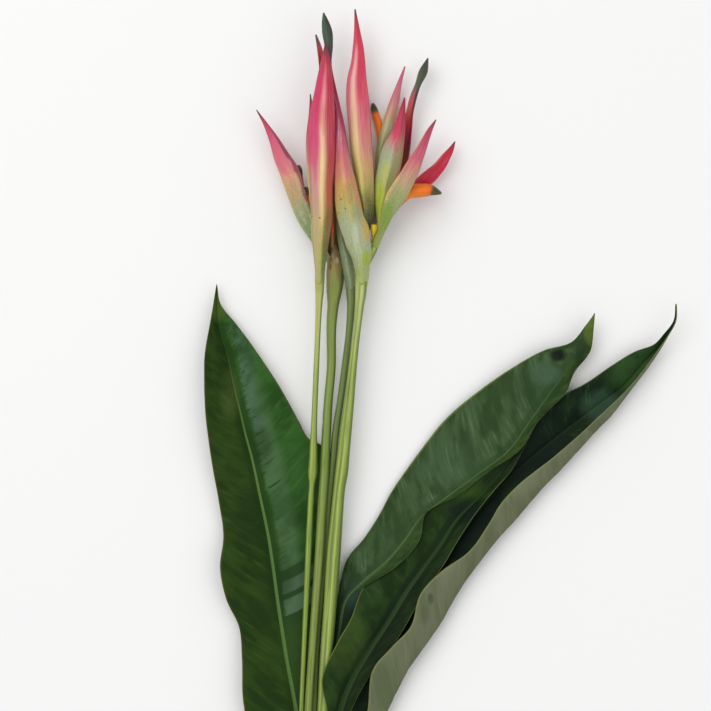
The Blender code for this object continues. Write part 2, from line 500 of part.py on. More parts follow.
def outline_round(circles):
    """The corners of a band pulled tight round circles, in order, as x and z."""
    points = []
    for x, z, radius in circles:
        for corner in range(TIE_CORNERS):
            turn = 2 * math.pi * corner / TIE_CORNERS
            points.append((x + radius * math.cos(turn), z + radius * math.sin(turn)))
    points.sort()

    def chain(ordered):
        kept = []
        for point in ordered:
            while len(kept) > 1:
                (ax, az), (bx, bz) = kept[-2], kept[-1]
                if (bx - ax) * (point[1] - az) - (bz - az) * (point[0] - ax) > 1e-6:
                    break
                kept.pop()
            kept.append(point)
        return kept[:-1]

    return np.array(chain(points) + chain(points[::-1]))


def tie(material):
    """A flat band of raffia round the stems and the petioles."""
    circles = []
    for stations in STEMS.values():
        x, _, z, radius = stations[1]
        circles.append((x, z, radius))
    for _, (x, top), _, _ in LEAVES.values():
        half_deep = (LEAF_WALL + RIB_DEPTH[0]) / 2
        circles.append((x, top - half_deep, math.hypot(half_deep, PETIOLE_HALF_WIDTH)))
    clear = 1.0 / math.cos(math.pi / TIE_CORNERS)
    inner = outline_round([(x, z, (radius + GAP) * clear) for x, z, radius in circles])
    ahead = unit(np.roll(inner, -1, axis=0) - inner)
    behind = unit(inner - np.roll(inner, 1, axis=0))
    corner = ahead + behind
    outward = unit(np.stack([corner[:, 1], -corner[:, 0]], axis=1))
    outer = inner + TIE_WALL * outward
    count = len(inner)
    corners = []
    for y in TIE_Y:
        for loop in (inner, outer):
            corners += [np.array([x, y, z]) for x, z in loop]
    faces = []
    for here in range(count):
        there = (here + 1) % count
        for one, two in ((0, 1), (1, 3), (3, 2), (2, 0)):
            faces.append((one * count + here, one * count + there,
                          two * count + there, two * count + here))
    return add_piece("tie", corners, faces, material)


def main():
    """Build the whole bunch."""
    clear_scene()
    stem_green = make_material("stem_green", COLOURS["stem"], 0.45)
    sheath_green = make_material("sheath_green", COLOURS["sheath"], 0.5)
    leaf_green = make_material("leaf_green", COLOURS["leaf"], 0.4)
    bract_pink = make_material("bract_pink", COLOURS["pink"], 0.4)
    bract_olive = make_material("bract_olive", COLOURS["olive"], 0.5)
    floret_orange = make_material("floret_orange", COLOURS["orange"], 0.4)
    floret_yellow = make_material("floret_yellow", COLOURS["yellow"], 0.4)
    raffia = make_material("raffia", COLOURS["raffia"], 0.8)
    for name, stations in STEMS.items():
        material = sheath_green if name == "stem_3" else stem_green
        tube(name, stations, STEM_SIDES, STEM_ROWS, material)
    for name, (keel_way, stations) in BRACTS.items():
        material = bract_olive if name in ("bract_2_2", "bract_3_1") else bract_pink
        bract(name, keel_way, stations, material)
    for name, stations in FLORETS.items():
        material = floret_yellow if name == "floret_4_2" else floret_orange
        tube(name, stations, FLORET_SIDES, FLORET_ROWS, material)
    for name, (stations, petiole, arches, columns) in LEAVES.items():
        leaf(name, stations, petiole, arches, columns, leaf_green)
    tie(raffia)


if __name__ == "__main__":
    main()
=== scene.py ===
"""Looks of a cut bunch of parrot heliconia, laid face up and seen from straight above.

Sizes are in millimetres in the bunch's own frame: X across it, Y from the cut ends to the
bract tips, Z up from the surface. They are turned into metres where each mesh is made.
Colours are red, green and blue from 0 to 255, as a screen shows them.
"""

from __future__ import annotations

import logging
import math
from dataclasses import dataclass
from enum import Enum
from typing import Any

import bpy
import numpy as np
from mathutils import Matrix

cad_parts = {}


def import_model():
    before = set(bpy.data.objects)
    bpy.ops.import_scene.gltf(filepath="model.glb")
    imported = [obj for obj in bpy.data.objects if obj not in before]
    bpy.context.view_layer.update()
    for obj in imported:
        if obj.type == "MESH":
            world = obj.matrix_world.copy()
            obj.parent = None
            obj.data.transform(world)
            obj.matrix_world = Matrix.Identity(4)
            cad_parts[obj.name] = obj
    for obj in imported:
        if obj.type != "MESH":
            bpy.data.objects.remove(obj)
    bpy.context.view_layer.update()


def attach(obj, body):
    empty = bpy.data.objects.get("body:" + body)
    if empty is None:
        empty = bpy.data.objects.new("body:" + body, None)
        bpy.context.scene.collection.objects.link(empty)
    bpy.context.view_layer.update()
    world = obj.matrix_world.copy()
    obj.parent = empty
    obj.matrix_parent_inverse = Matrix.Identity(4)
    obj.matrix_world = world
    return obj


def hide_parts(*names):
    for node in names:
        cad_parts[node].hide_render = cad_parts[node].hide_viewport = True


LOG = logging.getLogger("heliconia")

MM = 0.001
BUNCH_MIDDLE = np.array([56.5, -63.8, 0.0])
BODY = "root"

WALL = 0.7
MARGIN_WALL = 0.35

Colour = tuple[float, float, float]
Stops = tuple[tuple[float, float, float, float], ...]
Station = tuple[float, ...]
Way = tuple[float, float, float]

# Stems, from the cut end to the top of the rachis: x, y, z of the middle, and radius.
STEMS: dict[str, tuple[Station, ...]] = {
    "stem_1": (
        (-37.6, -352, 9.4, 1.9), (-37, -300, 9.4, 1.9), (-36.3, -250, 9.9, 1.8),
        (-34, -190, 11, 1.8), (-31.3, -130, 12.5, 2.1), (-29.7, -96, 13.8, 2),
        (-28.9, -84, 14.3, 2.1), (-28.6, -80, 14.5, 2.9), (-28.2, -70, 15, 2.8),
        (-27.7, -50, 16, 2.1), (-26.1, -10, 19, 1.9), (-24.7, 24, 22, 2), (-24.2, 36, 23.1, 2.4),
        (-23.9, 42, 23.7, 2.8), (-23.8, 48.5, 23.9, 2.9), (-23.7, 53, 24, 2.2),
        (-23.2, 62, 24.2, 1.7), (-22.8, 78, 24.5, 1.5), (-22.5, 92, 25, 1.1),
    ),
    "stem_2": (
        (-34.3, -356, 14.9, 3), (-33.9, -300, 14.9, 3), (-31.5, -240, 14.4, 2.7),
        (-28.3, -190, 13.7, 2.7), (-26.3, -163, 13.3, 2.8), (-23.9, -130, 12.9, 3.1),
        (-22.1, -99, 12.6, 3.2), (-21, -84, 12.4, 3.2), (-19.3, -50, 12, 3.1), (-18.1, -30, 12, 3),
        (-16.3, -10, 12, 3), (-15.8, 24, 12, 3.5), (-14.8, 35, 12, 4), (-14.2, 43, 12, 5.2),
        (-13.6, 50, 12, 5.9), (-13.4, 57, 12.1, 6), (-13.7, 64, 12.2, 4.8), (-14.6, 71, 12.4, 2.8),
        (-15.4, 77, 12.6, 1.7), (-16, 86, 12.8, 1.1),
    ),
    "stem_3": (
        (-30.9, -350, 9.9, 2.5), (-30.5, -300, 9.9, 2.5), (-28, -250, 9.5, 2.4),
        (-26.2, -200, 8.5, 2.4), (-23.2, -163, 8.2, 2.4), (-19.8, -130, 8.2, 2.4),
        (-17.7, -97, 8.6, 2.4), (-14.9, -70, 9.4, 2.4), (-13, -50, 10, 2.5), (-10, -30, 10.5, 2.4),
        (-7.3, -10, 11, 2.4), (-3.5, 24, 11.8, 2.5), (-2.7, 36, 11.9, 3), (-3, 43, 12, 3.3),
        (-3.1, 48, 12.2, 2.9), (-2.3, 60, 12.3, 2), (2, 74, 12.8, 1.8), (6, 83, 13.1, 1.6),
        (8.9, 89.5, 13.4, 1.3), (10.5, 95, 13.3, 0.9),
    ),
    "stem_4": (
        (-24.7, -358, 14, 4.2), (-24.4, -300, 14, 4.2), (-21.5, -240, 13.9, 4.2),
        (-18.7, -190, 13.6, 4.2), (-16.7, -163, 13.5, 4.4), (-14.5, -132, 13.5, 4.6),
        (-12.2, -104, 13.6, 4.1), (-10.7, -88, 13.9, 3.9), (-9.2, -77.5, 14.3, 4.3),
        (-8, -66, 14.9, 4.1), (-6.4, -50, 15.5, 3.9), (-4.1, -30, 16.5, 3.3), (-2.1, -10, 18, 2.8),
        (1.7, 24, 19.5, 2.7), (2.7, 34, 19.8, 3.1), (3.4, 41, 20, 3.7), (3.8, 48.5, 20, 4),
        (4.6, 54, 19.6, 3.3), (6.6, 60, 19.4, 2.6), (9.9, 66.5, 19.4, 2.5),
        (12.7, 72.5, 19.2, 2.4), (14.4, 76.5, 19, 1.5), (16.7, 81, 18.8, 1.3), (20.6, 90, 18.5, 1),
    ),
}

# Bracts, from base to tip. First the way that the keel faces. A station is x, y, z between
# the two margins, half the opening between them, and the depth from there to the keel.
BRACTS: dict[str, tuple[Way, tuple[Station, ...]]] = {
    "bract_1_1": ((0.05, 0, 1), (
        (-23.8, 47.5, 24, 3.1, 3.3), (-23.6, 57, 24.2, 3.4, 4.2), (-23.3, 71, 24.8, 5, 5.6),
        (-22.3, 93.7, 26.4, 7.3, 7.2), (-22.5, 111, 27.4, 7.8, 7.8), (-22, 135, 28.2, 9, 8),
        (-21.9, 157.7, 28.6, 8.5, 7), (-20.6, 177, 28.8, 6.2, 5.4), (-19.8, 193, 28.8, 3.6, 3.2),
        (-19.7, 207, 28.6, 0.5, 0.6),
    )),
    "bract_1_2": ((-1, 0, 0), (
        (-23.2, 66, 24.2, 2.9, 3.1), (-25.3, 74, 23.2, 3, 3.4), (-26, 84, 22, 2.7, 3.6),
        (-25.8, 98, 21.2, 2.2, 4.2), (-26.2, 118, 20.6, 2.2, 5.6), (-26.4, 147, 20.8, 1.9, 6.3),
        (-27.2, 160, 21.4, 1.3, 4), (-29.7, 173.7, 22.4, 0.5, 0.6),
    )),
    "bract_1_3": ((0, 0, -1), (
        (-22.6, 85, 24.7, 2.3, 2.5), (-22.4, 97, 25.1, 3.4, 3.6), (-22.2, 112, 25.8, 4.4, 4.6),
        (-22, 140, 26.6, 4.6, 4.8), (-22.3, 168, 27, 4, 3.8), (-21.9, 190, 27, 2.3, 2.2),
        (-23.7, 203, 27, 1.8, 1.6), (-26.3, 212.7, 27, 0.5, 0.6),
    )),
    "bract_2_1": ((-0.93, -0.37, 0), (
        (-15.1, 62, 12.3, 3, 3.2), (-18.4, 69, 12.7, 3.6, 4.6), (-23, 78, 13.3, 4.3, 6.6),
        (-28.6, 92, 14, 5.2, 10), (-33.3, 110, 14.5, 5.2, 12.6), (-37.7, 124.3, 15, 4.3, 13.3),
        (-44.3, 134.3, 15.3, 3.1, 11), (-52, 146, 15.6, 2.2, 6.5), (-59, 155.2, 15.8, 1.3, 2.9),
        (-65.7, 163.7, 16, 0.5, 0.6),
    )),
    "bract_2_2": ((0, 0, -1), (
        (-13.9, 47.5, 12, 5.3, 5.5), (-13.6, 54, 11.7, 5.4, 5.9), (-13.5, 61, 10.4, 5.5, 6.7),
        (-13.5, 70, 8.8, 5.6, 7.4), (-13.5, 90, 8, 6.3, 8.3), (-13.5, 115, 7.6, 5.6, 8),
        (-14.5, 140, 6.5, 3.6, 4.8), (-16, 162, 5.5, 0.5, 0.6),
    )),
    "bract_3_1": ((0, 0, 1), (
        (-3, 44.5, 12, 3.6, 3.8), (-3.5, 50, 13.2, 3.8, 3.8), (-4.6, 56, 14.8, 3.9, 3.7),
        (-5.9, 63, 15.4, 3.6, 3.5), (-7.5, 70, 15.6, 3.2, 3.1), (-9.4, 79, 15.6, 2.8, 2.8),
        (-10.6, 92, 15.4, 2.6, 2.6), (-11.2, 110, 15, 2.4, 2.2), (-11, 128, 15, 0.5, 0.6),
    )),
    "bract_3_2": ((-0.34, 0, 0.94), (
        (6, 83, 13.1, 3.7, 3.9), (7.6, 92, 15, 4.4, 5), (7.6, 100, 16, 5.5, 6.2),
        (6.3, 111, 17, 6.6, 7.5), (5.4, 123.7, 17.5, 7.2, 8), (4, 136.3, 18, 7.8, 8),
        (2.7, 154.3, 18, 8, 7.5), (1.4, 170.3, 18, 8, 7), (0.9, 183.7, 18, 6.9, 6),
        (1.7, 193.7, 18, 5.3, 5), (1.8, 203.7, 18, 4.1, 3.8), (1, 216, 18, 2.2, 2),
        (-0.3, 230.3, 18, 0.5, 0.6),
    )),
    "bract_3_3": ((-0.3, 0, 0.95), (
        (10.6, 84.5, 13.4, 3.2, 2.9), (11.2, 91.5, 13.2, 3.9, 3.2), (13.4, 104, 10, 3.7, 4),
        (16.5, 120, 8, 4.4, 4.5), (18, 138.3, 7.5, 4.2, 4.5), (21.6, 154.3, 7.5, 3.9, 4.2),
        (26.3, 170.5, 7.5, 3.3, 3), (29, 180.5, 7.6, 1.9, 2), (33, 193, 8, 0.5, 0.6),
    )),
    "bract_4_1": ((0, 0, 1), (
        (3.8, 47.5, 20, 4.3, 4.5), (4.5, 54, 20.9, 4.6, 4.9), (4.1, 60, 22.4, 5.5, 5.6),
        (3.9, 67, 23.4, 7.2, 6.3), (1.8, 75, 24.2, 8.5, 6.9), (0.2, 82, 24.8, 9.4, 7.3),
        (-2.9, 90.3, 25.5, 9, 8), (-5, 101, 26.5, 8.7, 8), (-6.6, 113.7, 26.8, 7.3, 7.5),
        (-8.2, 126.3, 26.5, 5.5, 6.3), (-9.2, 137, 26, 4.5, 5), (-10.6, 154.3, 24.6, 3, 3.4),
        (-13, 167.7, 23.6, 2.4, 2.5), (-15.5, 179, 23.2, 2.3, 2.2), (-18, 194.3, 23.4, 2.2, 1.8),
        (-17.8, 206.3, 24, 2.9, 1.4), (-18.8, 215, 24.6, 3.4, 1.3), (-20, 221, 25, 2.4, 1.1),
        (-21.2, 227.3, 25.4, 0.5, 0.6),
    )),
    "bract_4_2": ((0.82, -0.38, 0.43), (
        (12.9, 72.5, 19.2, 2.6, 2.8), (14.8, 77, 21.2, 2.6, 3.1), (16.9, 82.5, 24, 2.8, 3.8),
        (18.5, 89, 26.6, 3.6, 5.4), (19.4, 96.7, 28, 4.4, 8.7), (21.4, 103.7, 28.4, 4.6, 11.2),
        (26, 112.3, 28.4, 4.6, 12), (30.2, 118.5, 28.4, 4.4, 10.8), (36.4, 129, 28.2, 3.7, 9),
        (41, 136, 28, 3, 6.4), (44.4, 142.5, 28, 2.3, 4.8), (47.8, 149, 28, 1.5, 3.4),
        (53.2, 156.3, 28, 0.5, 0.6),
    )),
    "bract_4_3": ((0.1, 0, 1), (
        (17.1, 82, 18.8, 2.4, 2.6), (17.2, 88.5, 18.4, 3.2, 3.5), (17.6, 96.5, 17.4, 4.3, 4.6),
        (18.5, 106, 16.2, 5.8, 5.4), (20, 116.3, 15.4, 7, 6), (22.3, 125, 15, 7.7, 6),
        (24.6, 135.7, 15, 7.4, 6), (28.8, 149, 15.4, 4.4, 4.6), (30.7, 160, 15.8, 2.6, 3),
        (32.7, 171.7, 16.2, 0.5, 0.6),
    )),
    "bract_4_4": ((0.5, 0, -0.87), (
        (20.2, 88.5, 18.5, 2.4, 2.6), (21.3, 97, 14, 2.8, 3.7), (25, 107, 11.5, 4.2, 5),
        (28.5, 120, 10.5, 5.2, 5.5), (31.5, 135, 10, 5.2, 5.5), (34, 151, 10.3, 4.3, 4.6),
        (36.2, 162, 10.6, 2.9, 3.2), (38.6, 172, 11, 2.8, 2.4), (41.8, 181, 11.4, 2.4, 1.5),
        (45.2, 189.3, 11.8, 3.3, 1.2), (48.3, 198.3, 12.2, 0.5, 0.6),
    )),
    "bract_4_5": ((0.77, -0.64, 0), (
        (23.5, 93.5, 18.3, 1.6, 1.8), (26.4, 98.5, 16.3, 2, 2.4), (29.8, 104.5, 12.8, 3, 4.2),
        (35, 111.3, 10.8, 3.6, 6), (40.7, 118, 10.5, 3.9, 8.8), (47.3, 123.7, 10.5, 3.8, 9.4),
        (52.3, 127.7, 10.8, 3.4, 8), (57.5, 133.7, 11.2, 2.8, 6.4), (62.7, 139, 11.6, 1.8, 3.6),
        (66.2, 143, 12, 0.5, 0.6),
    )),
}

# Bracts that turn round the rachis near their base: the way the keel faces there.
BASE_KEELS: dict[str, Way] = {
    "bract_4_2": (0.2, 0, 1), "bract_4_3": (-0.7, 0, 0.7),
}
OLIVE_BRACTS = ("bract_2_2", "bract_3_1")

# Florets, from base to tip: x, y, z of the middle, and radius.
FLORETS: dict[str, tuple[Station, ...]] = {
    "floret_2_1": (
        (-20, 76, 12.2, 1.4), (-26, 88, 11.8, 1.6), (-31.5, 98, 11.9, 1.7), (-34, 105, 12.4, 1.7),
        (-35.3, 110.5, 12.9, 1.7), (-36.9, 118.5, 14, 1.8), (-37.4, 124, 14.2, 1.8),
        (-37.8, 126.8, 14.3, 0.8),
    ),
    "floret_2_2": (
        (-18.6, 76, 15.5, 1.3), (-24, 88, 15.4, 1.9), (-29.4, 98, 15.6, 2.3),
        (-31.4, 105, 15.6, 2.3), (-32.6, 110.2, 15.6, 1.9), (-33, 112.3, 15.6, 0.8),
    ),
    "floret_2_3": (
        (-15.6, 72, 15.9, 1), (-15.4, 84, 17.5, 1.3), (-14.9, 98, 18.5, 0.6),
    ),
    "floret_3_1": (
        (10.9, 98, 11.4, 0.9), (13.4, 108, 9, 1.5), (15.6, 122, 6, 1.9), (16.6, 135, 4.3, 2.1),
        (16.6, 147, 3.7, 2.4), (15.4, 155, 3.8, 2.5), (13.4, 161, 4, 2.5), (12.2, 165.8, 4.4, 2),
        (11.5, 168.6, 4.8, 0.8),
    ),
    "floret_4_1": (
        (21.8, 92.5, 20.4, 1), (26.5, 100, 20.6, 1.8), (32, 106, 20.3, 3.5),
        (37.5, 109.2, 20, 4.5), (43, 109.8, 19.8, 4.5), (49, 110, 20, 3.9),
        (52.5, 109.2, 20.2, 2.8), (55.5, 108.2, 20.4, 1.5), (57.2, 107.8, 20.5, 0.6),
    ),
    "floret_4_2": (
        (11.1, 74.5, 18, 0.8), (11.7, 78.5, 18.6, 1.2), (12.4, 82, 19.3, 2.2),
        (12.9, 85.2, 19.6, 2.7), (13.1, 86.8, 19.7, 2.3), (13.2, 87.4, 19.7, 0.9),
    ),
}

# Leaves, from tip to petiole. A station is the left margin, the top of the midrib and the
# right margin, and on the curled leaf also the point that pulls its right half outwards.
LEFT_LEAF = (
    ((-92.9, 47.3, 6), (-92.7, 47.7, 6), (-92.5, 47.3, 6)),
    ((-94.5, 37, 7), (-93, 35, 5.5), (-90.5, 35, 7)),
    ((-97, 21.7, 9), (-91.7, 18.3, 4.5), (-79.7, 21, 8)),
    ((-100.3, 2.3, 11), (-86.3, 2.3, 4), (-67.7, 5, 10)),
    ((-100.8, -17.7, 13), (-81.7, -19, 3.4), (-51.7, -19, 11)),
    ((-99.7, -41.7, 13), (-76.7, -39.7, 3.2), (-38.3, -43, 9)),
    ((-97.9, -57, 12), (-73.6, -53, 3), (-31.5, -55.2, 7.2)),
    ((-95.9, -71, 11), (-70.3, -65, 2.8), (-21, -61.5, 5)),
    ((-91, -99, 8), (-64.3, -92.3, 2.6), (-21.7, -96.3, 4.4)),
    ((-88.3, -123, 8), (-58, -123, 2.4), (-22.3, -126.3, 4.2)),
    ((-90.3, -141.7, 12), (-55, -143, 2.4), (-23.3, -149.7, 4.2)),
    ((-86.3, -162.3, 11), (-52.3, -163, 2.6), (-25, -169.7, 4.2)),
    ((-77.7, -181.7, 8), (-49, -184.3, 3.6), (-27, -193, 4.3)),
    ((-75.7, -203, 10), (-45.7, -205, 4), (-29, -213, 4.6)),
    ((-75, -229.7, 11), (-41.3, -227.7, 4.6), (-32.3, -233, 5)),
    ((-69, -253, 9), (-37.7, -251.7, 5.4), (-33, -251.7, 5.6)),
    ((-53, -275, 7.5), (-36.3, -273, 6.2), (-33.3, -273, 6.4)),
    ((-39.3, -293, 6.6), (-36.1, -293, 6.5), (-33, -293, 6.6)),
)
UPPER_LEAF = (
    ((159, 27.7, 12), (159.3, 28.3, 12), (159.7, 27.7, 12)),
    ((153.7, 20.3, 11), (156.3, 17.7, 12.5), (158.7, 16.3, 11.5)),
    ((145, 9.7, 10), (151.7, 6.3, 13), (157, 3.7, 10.5)),
    ((126.3, 3.7, 9), (141.7, -8.3, 14), (146.3, -11, 11)),
    ((104.3, -8.3, 7), (129, -25.7, 14.5), (139.7, -25.7, 11)),
    ((81.7, -24.3, 5), (116.3, -43.7, 15), (123.7, -41, 12.5)),
    ((61, -41.7, 4), (102.3, -63, 15), (110.3, -62.3, 13)),
    ((44.3, -62.3, 3.2), (81.7, -79, 15), (88.3, -77.7, 14)),
    ((32.3, -79, 3), (61.7, -93.7, 15), (67.7, -93.7, 14)),
    ((23, -93, 3), (43, -109, 14.5), (46.7, -105.7, 14.2)),
    ((15.7, -107, 3), (32.3, -123.7, 14), (42.3, -123.7, 13)),
    ((5.7, -122.3, 3.4), (20.3, -137.7, 13), (27.7, -140.3, 12.4)),
    ((-6.3, -137.7, 4.4), (5.7, -150.3, 10.6), (9.7, -151.7, 10.6)),
    ((-11.7, -159.7, 5), (-5.7, -163, 7.6), (4.2, -157.6, 8.2)),
    ((-15, -183, 5.4), (-11, -185.7, 6.6), (-1.6, -182, 6.9)),
    ((-20.3, -216.3, 5.6), (-17, -217.7, 6.4), (-14.3, -216.3, 6.4)),
    ((-29, -256.3, 6.2), (-26, -256.3, 6.4), (-23, -256.3, 6.2)),
)
INNER_LEAF = (
    ((117, -50.3, 10), (117.7, -49.7, 10), (118.3, -50.3, 10)),
    ((94.3, -68.3, 10.4), (101.7, -72.3, 9), (105, -75, 10.5)),
    ((71, -85, 10.6), (85, -92.3, 8.4), (93.7, -88.3, 12)),
    ((51, -101.7, 10.4), (67, -111, 8), (80.3, -105, 13)),
    ((35, -118.3, 9.8), (56.3, -127.7, 7.8), (68.3, -123, 13)),
    ((20.3, -136.3, 9), (45.7, -141.7, 7.6), (58.3, -140.3, 13)),
    ((5, -155, 8), (34.3, -157.7, 7.8), (46.3, -157, 13)),
    ((-3, -175, 14), (23, -176.3, 8.4), (37, -173.7, 13.6)),
    ((-11.7, -190.3, 17.6), (10.3, -195.7, 9.4), (27, -190.3, 13.6)),
    ((-22.3, -215, 20.2), (-2.3, -217, 10.4), (12.3, -209, 13)),
    ((-19, -235, 19.6), (-10, -236.3, 10.8), (-0.3, -231, 12.4)),
    ((-16.8, -256.3, 14.4), (-13.8, -257.7, 10.4), (-10, -256.3, 11.4)),
    ((-18.8, -279.7, 10.8), (-16.2, -279.7, 10.4), (-13.5, -279.7, 10.8)),
)
OUTER_LEAF = (
    ((213, 34, 15), (213.3, 34.3, 15), (213.7, 34, 15), (213.6, 34.2, 15)),
    ((212.1, 23.7, 13), (212.7, 23.7, 13), (213.1, 23, 13.2), (213.3, 23.3, 13)),
    ((205.7, 14.3, 10), (206.7, 13.3, 9.6), (207.7, 12.3, 10.6), (207.9, 12.7, 10)),
    ((199.7, 7.7, 9), (201.7, 5, 7), (200.3, 1.7, 11), (203.1, 4.3, 9)),
    ((187, 2.7, 8.4), (193, -4.3, 5.4), (189.7, -12.3, 13), (196.3, -5.7, 8)),
    ((171, -6.7, 7.6), (179, -20.3, 4.2), (175.7, -27.7, 14), (182.3, -24.3, 8)),
    ((153, -19, 6.6), (163, -32.3, 3.6), (162.3, -40.3, 14.6), (170.3, -39.7, 8)),
    ((140.3, -25.7, 6), (151, -41.7, 3.2), (149.7, -52.3, 15), (160.3, -49.7, 8)),
    ((116.3, -49.7, 5), (133.7, -55, 2.8), (131.7, -67.7, 15), (141.7, -70.3, 8)),
    ((94.3, -71, 4.4), (113, -72.3, 2.5), (111, -83.7, 15.4), (123.7, -89, 8)),
    ((73, -91, 4.2), (94.3, -91, 2.3), (97, -98.3, 15.6), (107.7, -107.7, 8)),
    ((56.3, -113, 4.2), (79, -108.3, 2.3), (87.7, -113.7, 15.6), (93, -123.7, 8)),
    ((41.7, -133, 4.2), (67, -126.3, 2.3), (75.7, -130.3, 15.8), (79, -141.7, 8)),
    ((28.3, -153, 4.2), (53.7, -144.3, 2.6), (57, -143.7, 16.4), (67, -159.7, 8.4)),
    ((17.7, -171, 4.4), (41.7, -163, 3.4), (43, -159, 17), (57, -177.7, 9)),
    ((8.3, -189.7, 4.8), (29.7, -181.7, 3.8), (37, -179.7, 17.6), (46.3, -193, 9.6)),
    ((-0.3, -209.7, 5.2), (17.7, -201, 4.4), (24.3, -193.7, 17.6), (35, -209, 10)),
    ((-5.7, -226.3, 5.6), (7, -219.7, 5), (11, -210.3, 17), (27, -224.3, 10)),
    ((-9.7, -243, 5.2), (-2.3, -239.7, 4.8), (7.7, -237.7, 14), (17.7, -242.3, 9)),
    ((-15.3, -263, 4.6), (-11.3, -264.3, 4.4), (-3.3, -263, 8), (2, -265, 6.4)),
    ((-24, -286.3, 5.8), (-21.5, -286.3, 5.6), (-19.2, -286.3, 5.8), (-20.3, -286.3, 5.7)),
)


class Slot(Enum):
    """The record's material slots."""

    STEM = "stem"
    SHEATH = "sheath"
    LEAF = "leaf"
    BRACT = "bract"
    BRACT_OLIVE = "bract_olive"
    FLORET = "floret"
    FLORET_YELLOW = "floret_yellow"
    RAFFIA = "raffia"


def linear(colour: Any) -> tuple[float, ...]:
    """Turn a colour as a screen shows it into linear light.

    Args:
        colour: Red, green and blue, 0 to 255.

    Returns:
        The linear colour, with full cover as its fourth part.
    """
    shares = [value / 255.0 for value in colour]
    light = [s / 12.92 if s <= 0.04045 else ((s + 0.055) / 1.055) ** 2.4 for s in shares]
    return (*light, 1.0)


class Signal:
    """A number that flows through a node tree, worked on with Python's arithmetic."""

    def __init__(self, tree: bpy.types.NodeTree, socket: bpy.types.NodeSocket) -> None:
        """Wrap one output socket."""
        self.tree, self.socket = tree, socket

    def _math(self, operation: str, *values: Any) -> Signal:
        """Add a Math node.

        Args:
            operation: The node's operation.
            values: The signals or numbers that it works on.

        Returns:
            The node's result.
        """
        node = self.tree.nodes.new("ShaderNodeMath")
        node.operation = operation
        for socket, value in zip(node.inputs, values):
            if isinstance(value, Signal):
                self.tree.links.new(value.socket, socket)
            else:
                socket.default_value = value
        return Signal(self.tree, node.outputs[0])

    def __add__(self, other: Any) -> Signal:
        """self + other."""
        return self._math("ADD", self, other)

    def __radd__(self, other: Any) -> Signal:
        """other + self."""
        return self._math("ADD", other, self)

    def __sub__(self, other: Any) -> Signal:
        """self - other."""
        return self._math("SUBTRACT", self, other)

    def __rsub__(self, other: Any) -> Signal:
        """other - self."""
        return self._math("SUBTRACT", other, self)

    def __mul__(self, other: Any) -> Signal:
        """self * other."""
        return self._math("MULTIPLY", self, other)

    def __rmul__(self, other: Any) -> Signal:
        """other * self."""
        return self._math("MULTIPLY", other, self)

    def __truediv__(self, other: Any) -> Signal:
        """self / other."""
        return self._math("DIVIDE", self, other)

    def __abs__(self) -> Signal:
        """abs(self)."""
        return self._math("ABSOLUTE", self)

    def sine(self) -> Signal:
        """The sine of the signal."""
        return self._math("SINE", self)

    def angle_with(self, other: Signal) -> Signal:
        """The angle whose upright part is the signal and whose level part is another."""
        return self._math("ARCTAN2", self, other)


class Nodes:
    """Adds nodes to a shader tree or a geometry tree."""

    def __init__(self, tree: bpy.types.NodeTree) -> None:
        """Work on one tree."""
        self.tree = tree

    def add(self, kind: str, sockets: dict[Any, Any], **settings: Any) -> Any:
        """Add a node.

        Args:
            kind: The node's type.
            sockets: Values or links of its inputs, by name or number.
            settings: Its settings, which are made first.

        Returns:
            The node's outputs.
        """
        node = self.tree.nodes.new(kind)
        for name, value in settings.items():
            setattr(node, name, value)
        for key, value in sockets.items():
            value = value.socket if isinstance(value, Signal) else value
            if isinstance(value, bpy.types.NodeSocket):
                self.tree.links.new(value, node.inputs[key])
            else:
                node.inputs[key].default_value = value
        return node.outputs

    def read(self, kind: str, sockets: dict[Any, Any], output: Any = 0, **settings: Any) -> Signal:
        """Add a node and wrap one of its outputs."""
        return Signal(self.tree, self.add(kind, sockets, **settings)[output])

    def vector(self, *parts: Any) -> bpy.types.NodeSocket:
        """Join three signals or numbers in a vector."""
        return self.add("ShaderNodeCombineXYZ", dict(enumerate(parts)))[0]

    def level(self, vector: bpy.types.NodeSocket) -> tuple[Signal, Signal]:
        """The x and the y of a vector."""
        split = self.add("ShaderNodeSeparateXYZ", {0: vector})
        return Signal(self.tree, split[0]), Signal(self.tree, split[1])

    def noise(self, where: Any, detail: float, rough: float = 0.5, scale: float = 1.0) -> Signal:
        """Soft noise from 0 to 1.

        Args:
            where: Where the noise is read: a vector, or its three parts.
            detail: How many finer layers it has.
            rough: How strong the finer layers are.
            scale: Its scale.

        Returns:
            The noise.
        """
        vector = self.vector(*where) if isinstance(where, tuple) else where
        sockets = {"Vector": vector, "Scale": scale, "Detail": detail, "Roughness": rough}
        return self.read("ShaderNodeTexNoise", sockets)

    def step(self, value: Signal, start: float, end: float) -> Signal:
        """A smooth step from 0 to 1.

        Args:
            value: The signal.
            start: Where the step is 0.
            end: Where it is 1, which may lie below the start.

        Returns:
            The step.
        """
        low, high = min(start, end), max(start, end)
        sockets = {"Value": value, "From Min": low, "From Max": high}
        rise = self.read("ShaderNodeMapRange", sockets, interpolation_type="SMOOTHSTEP")
        return rise if start < end else 1.0 - rise


@dataclass(frozen=True)
class Mark:
    """A soft oval of another colour, seen from above: middle, half sizes, colour, share."""

    spot: tuple[float, float]
    reach: tuple[float, float]
    colour: Colour
    share: float = 0.6


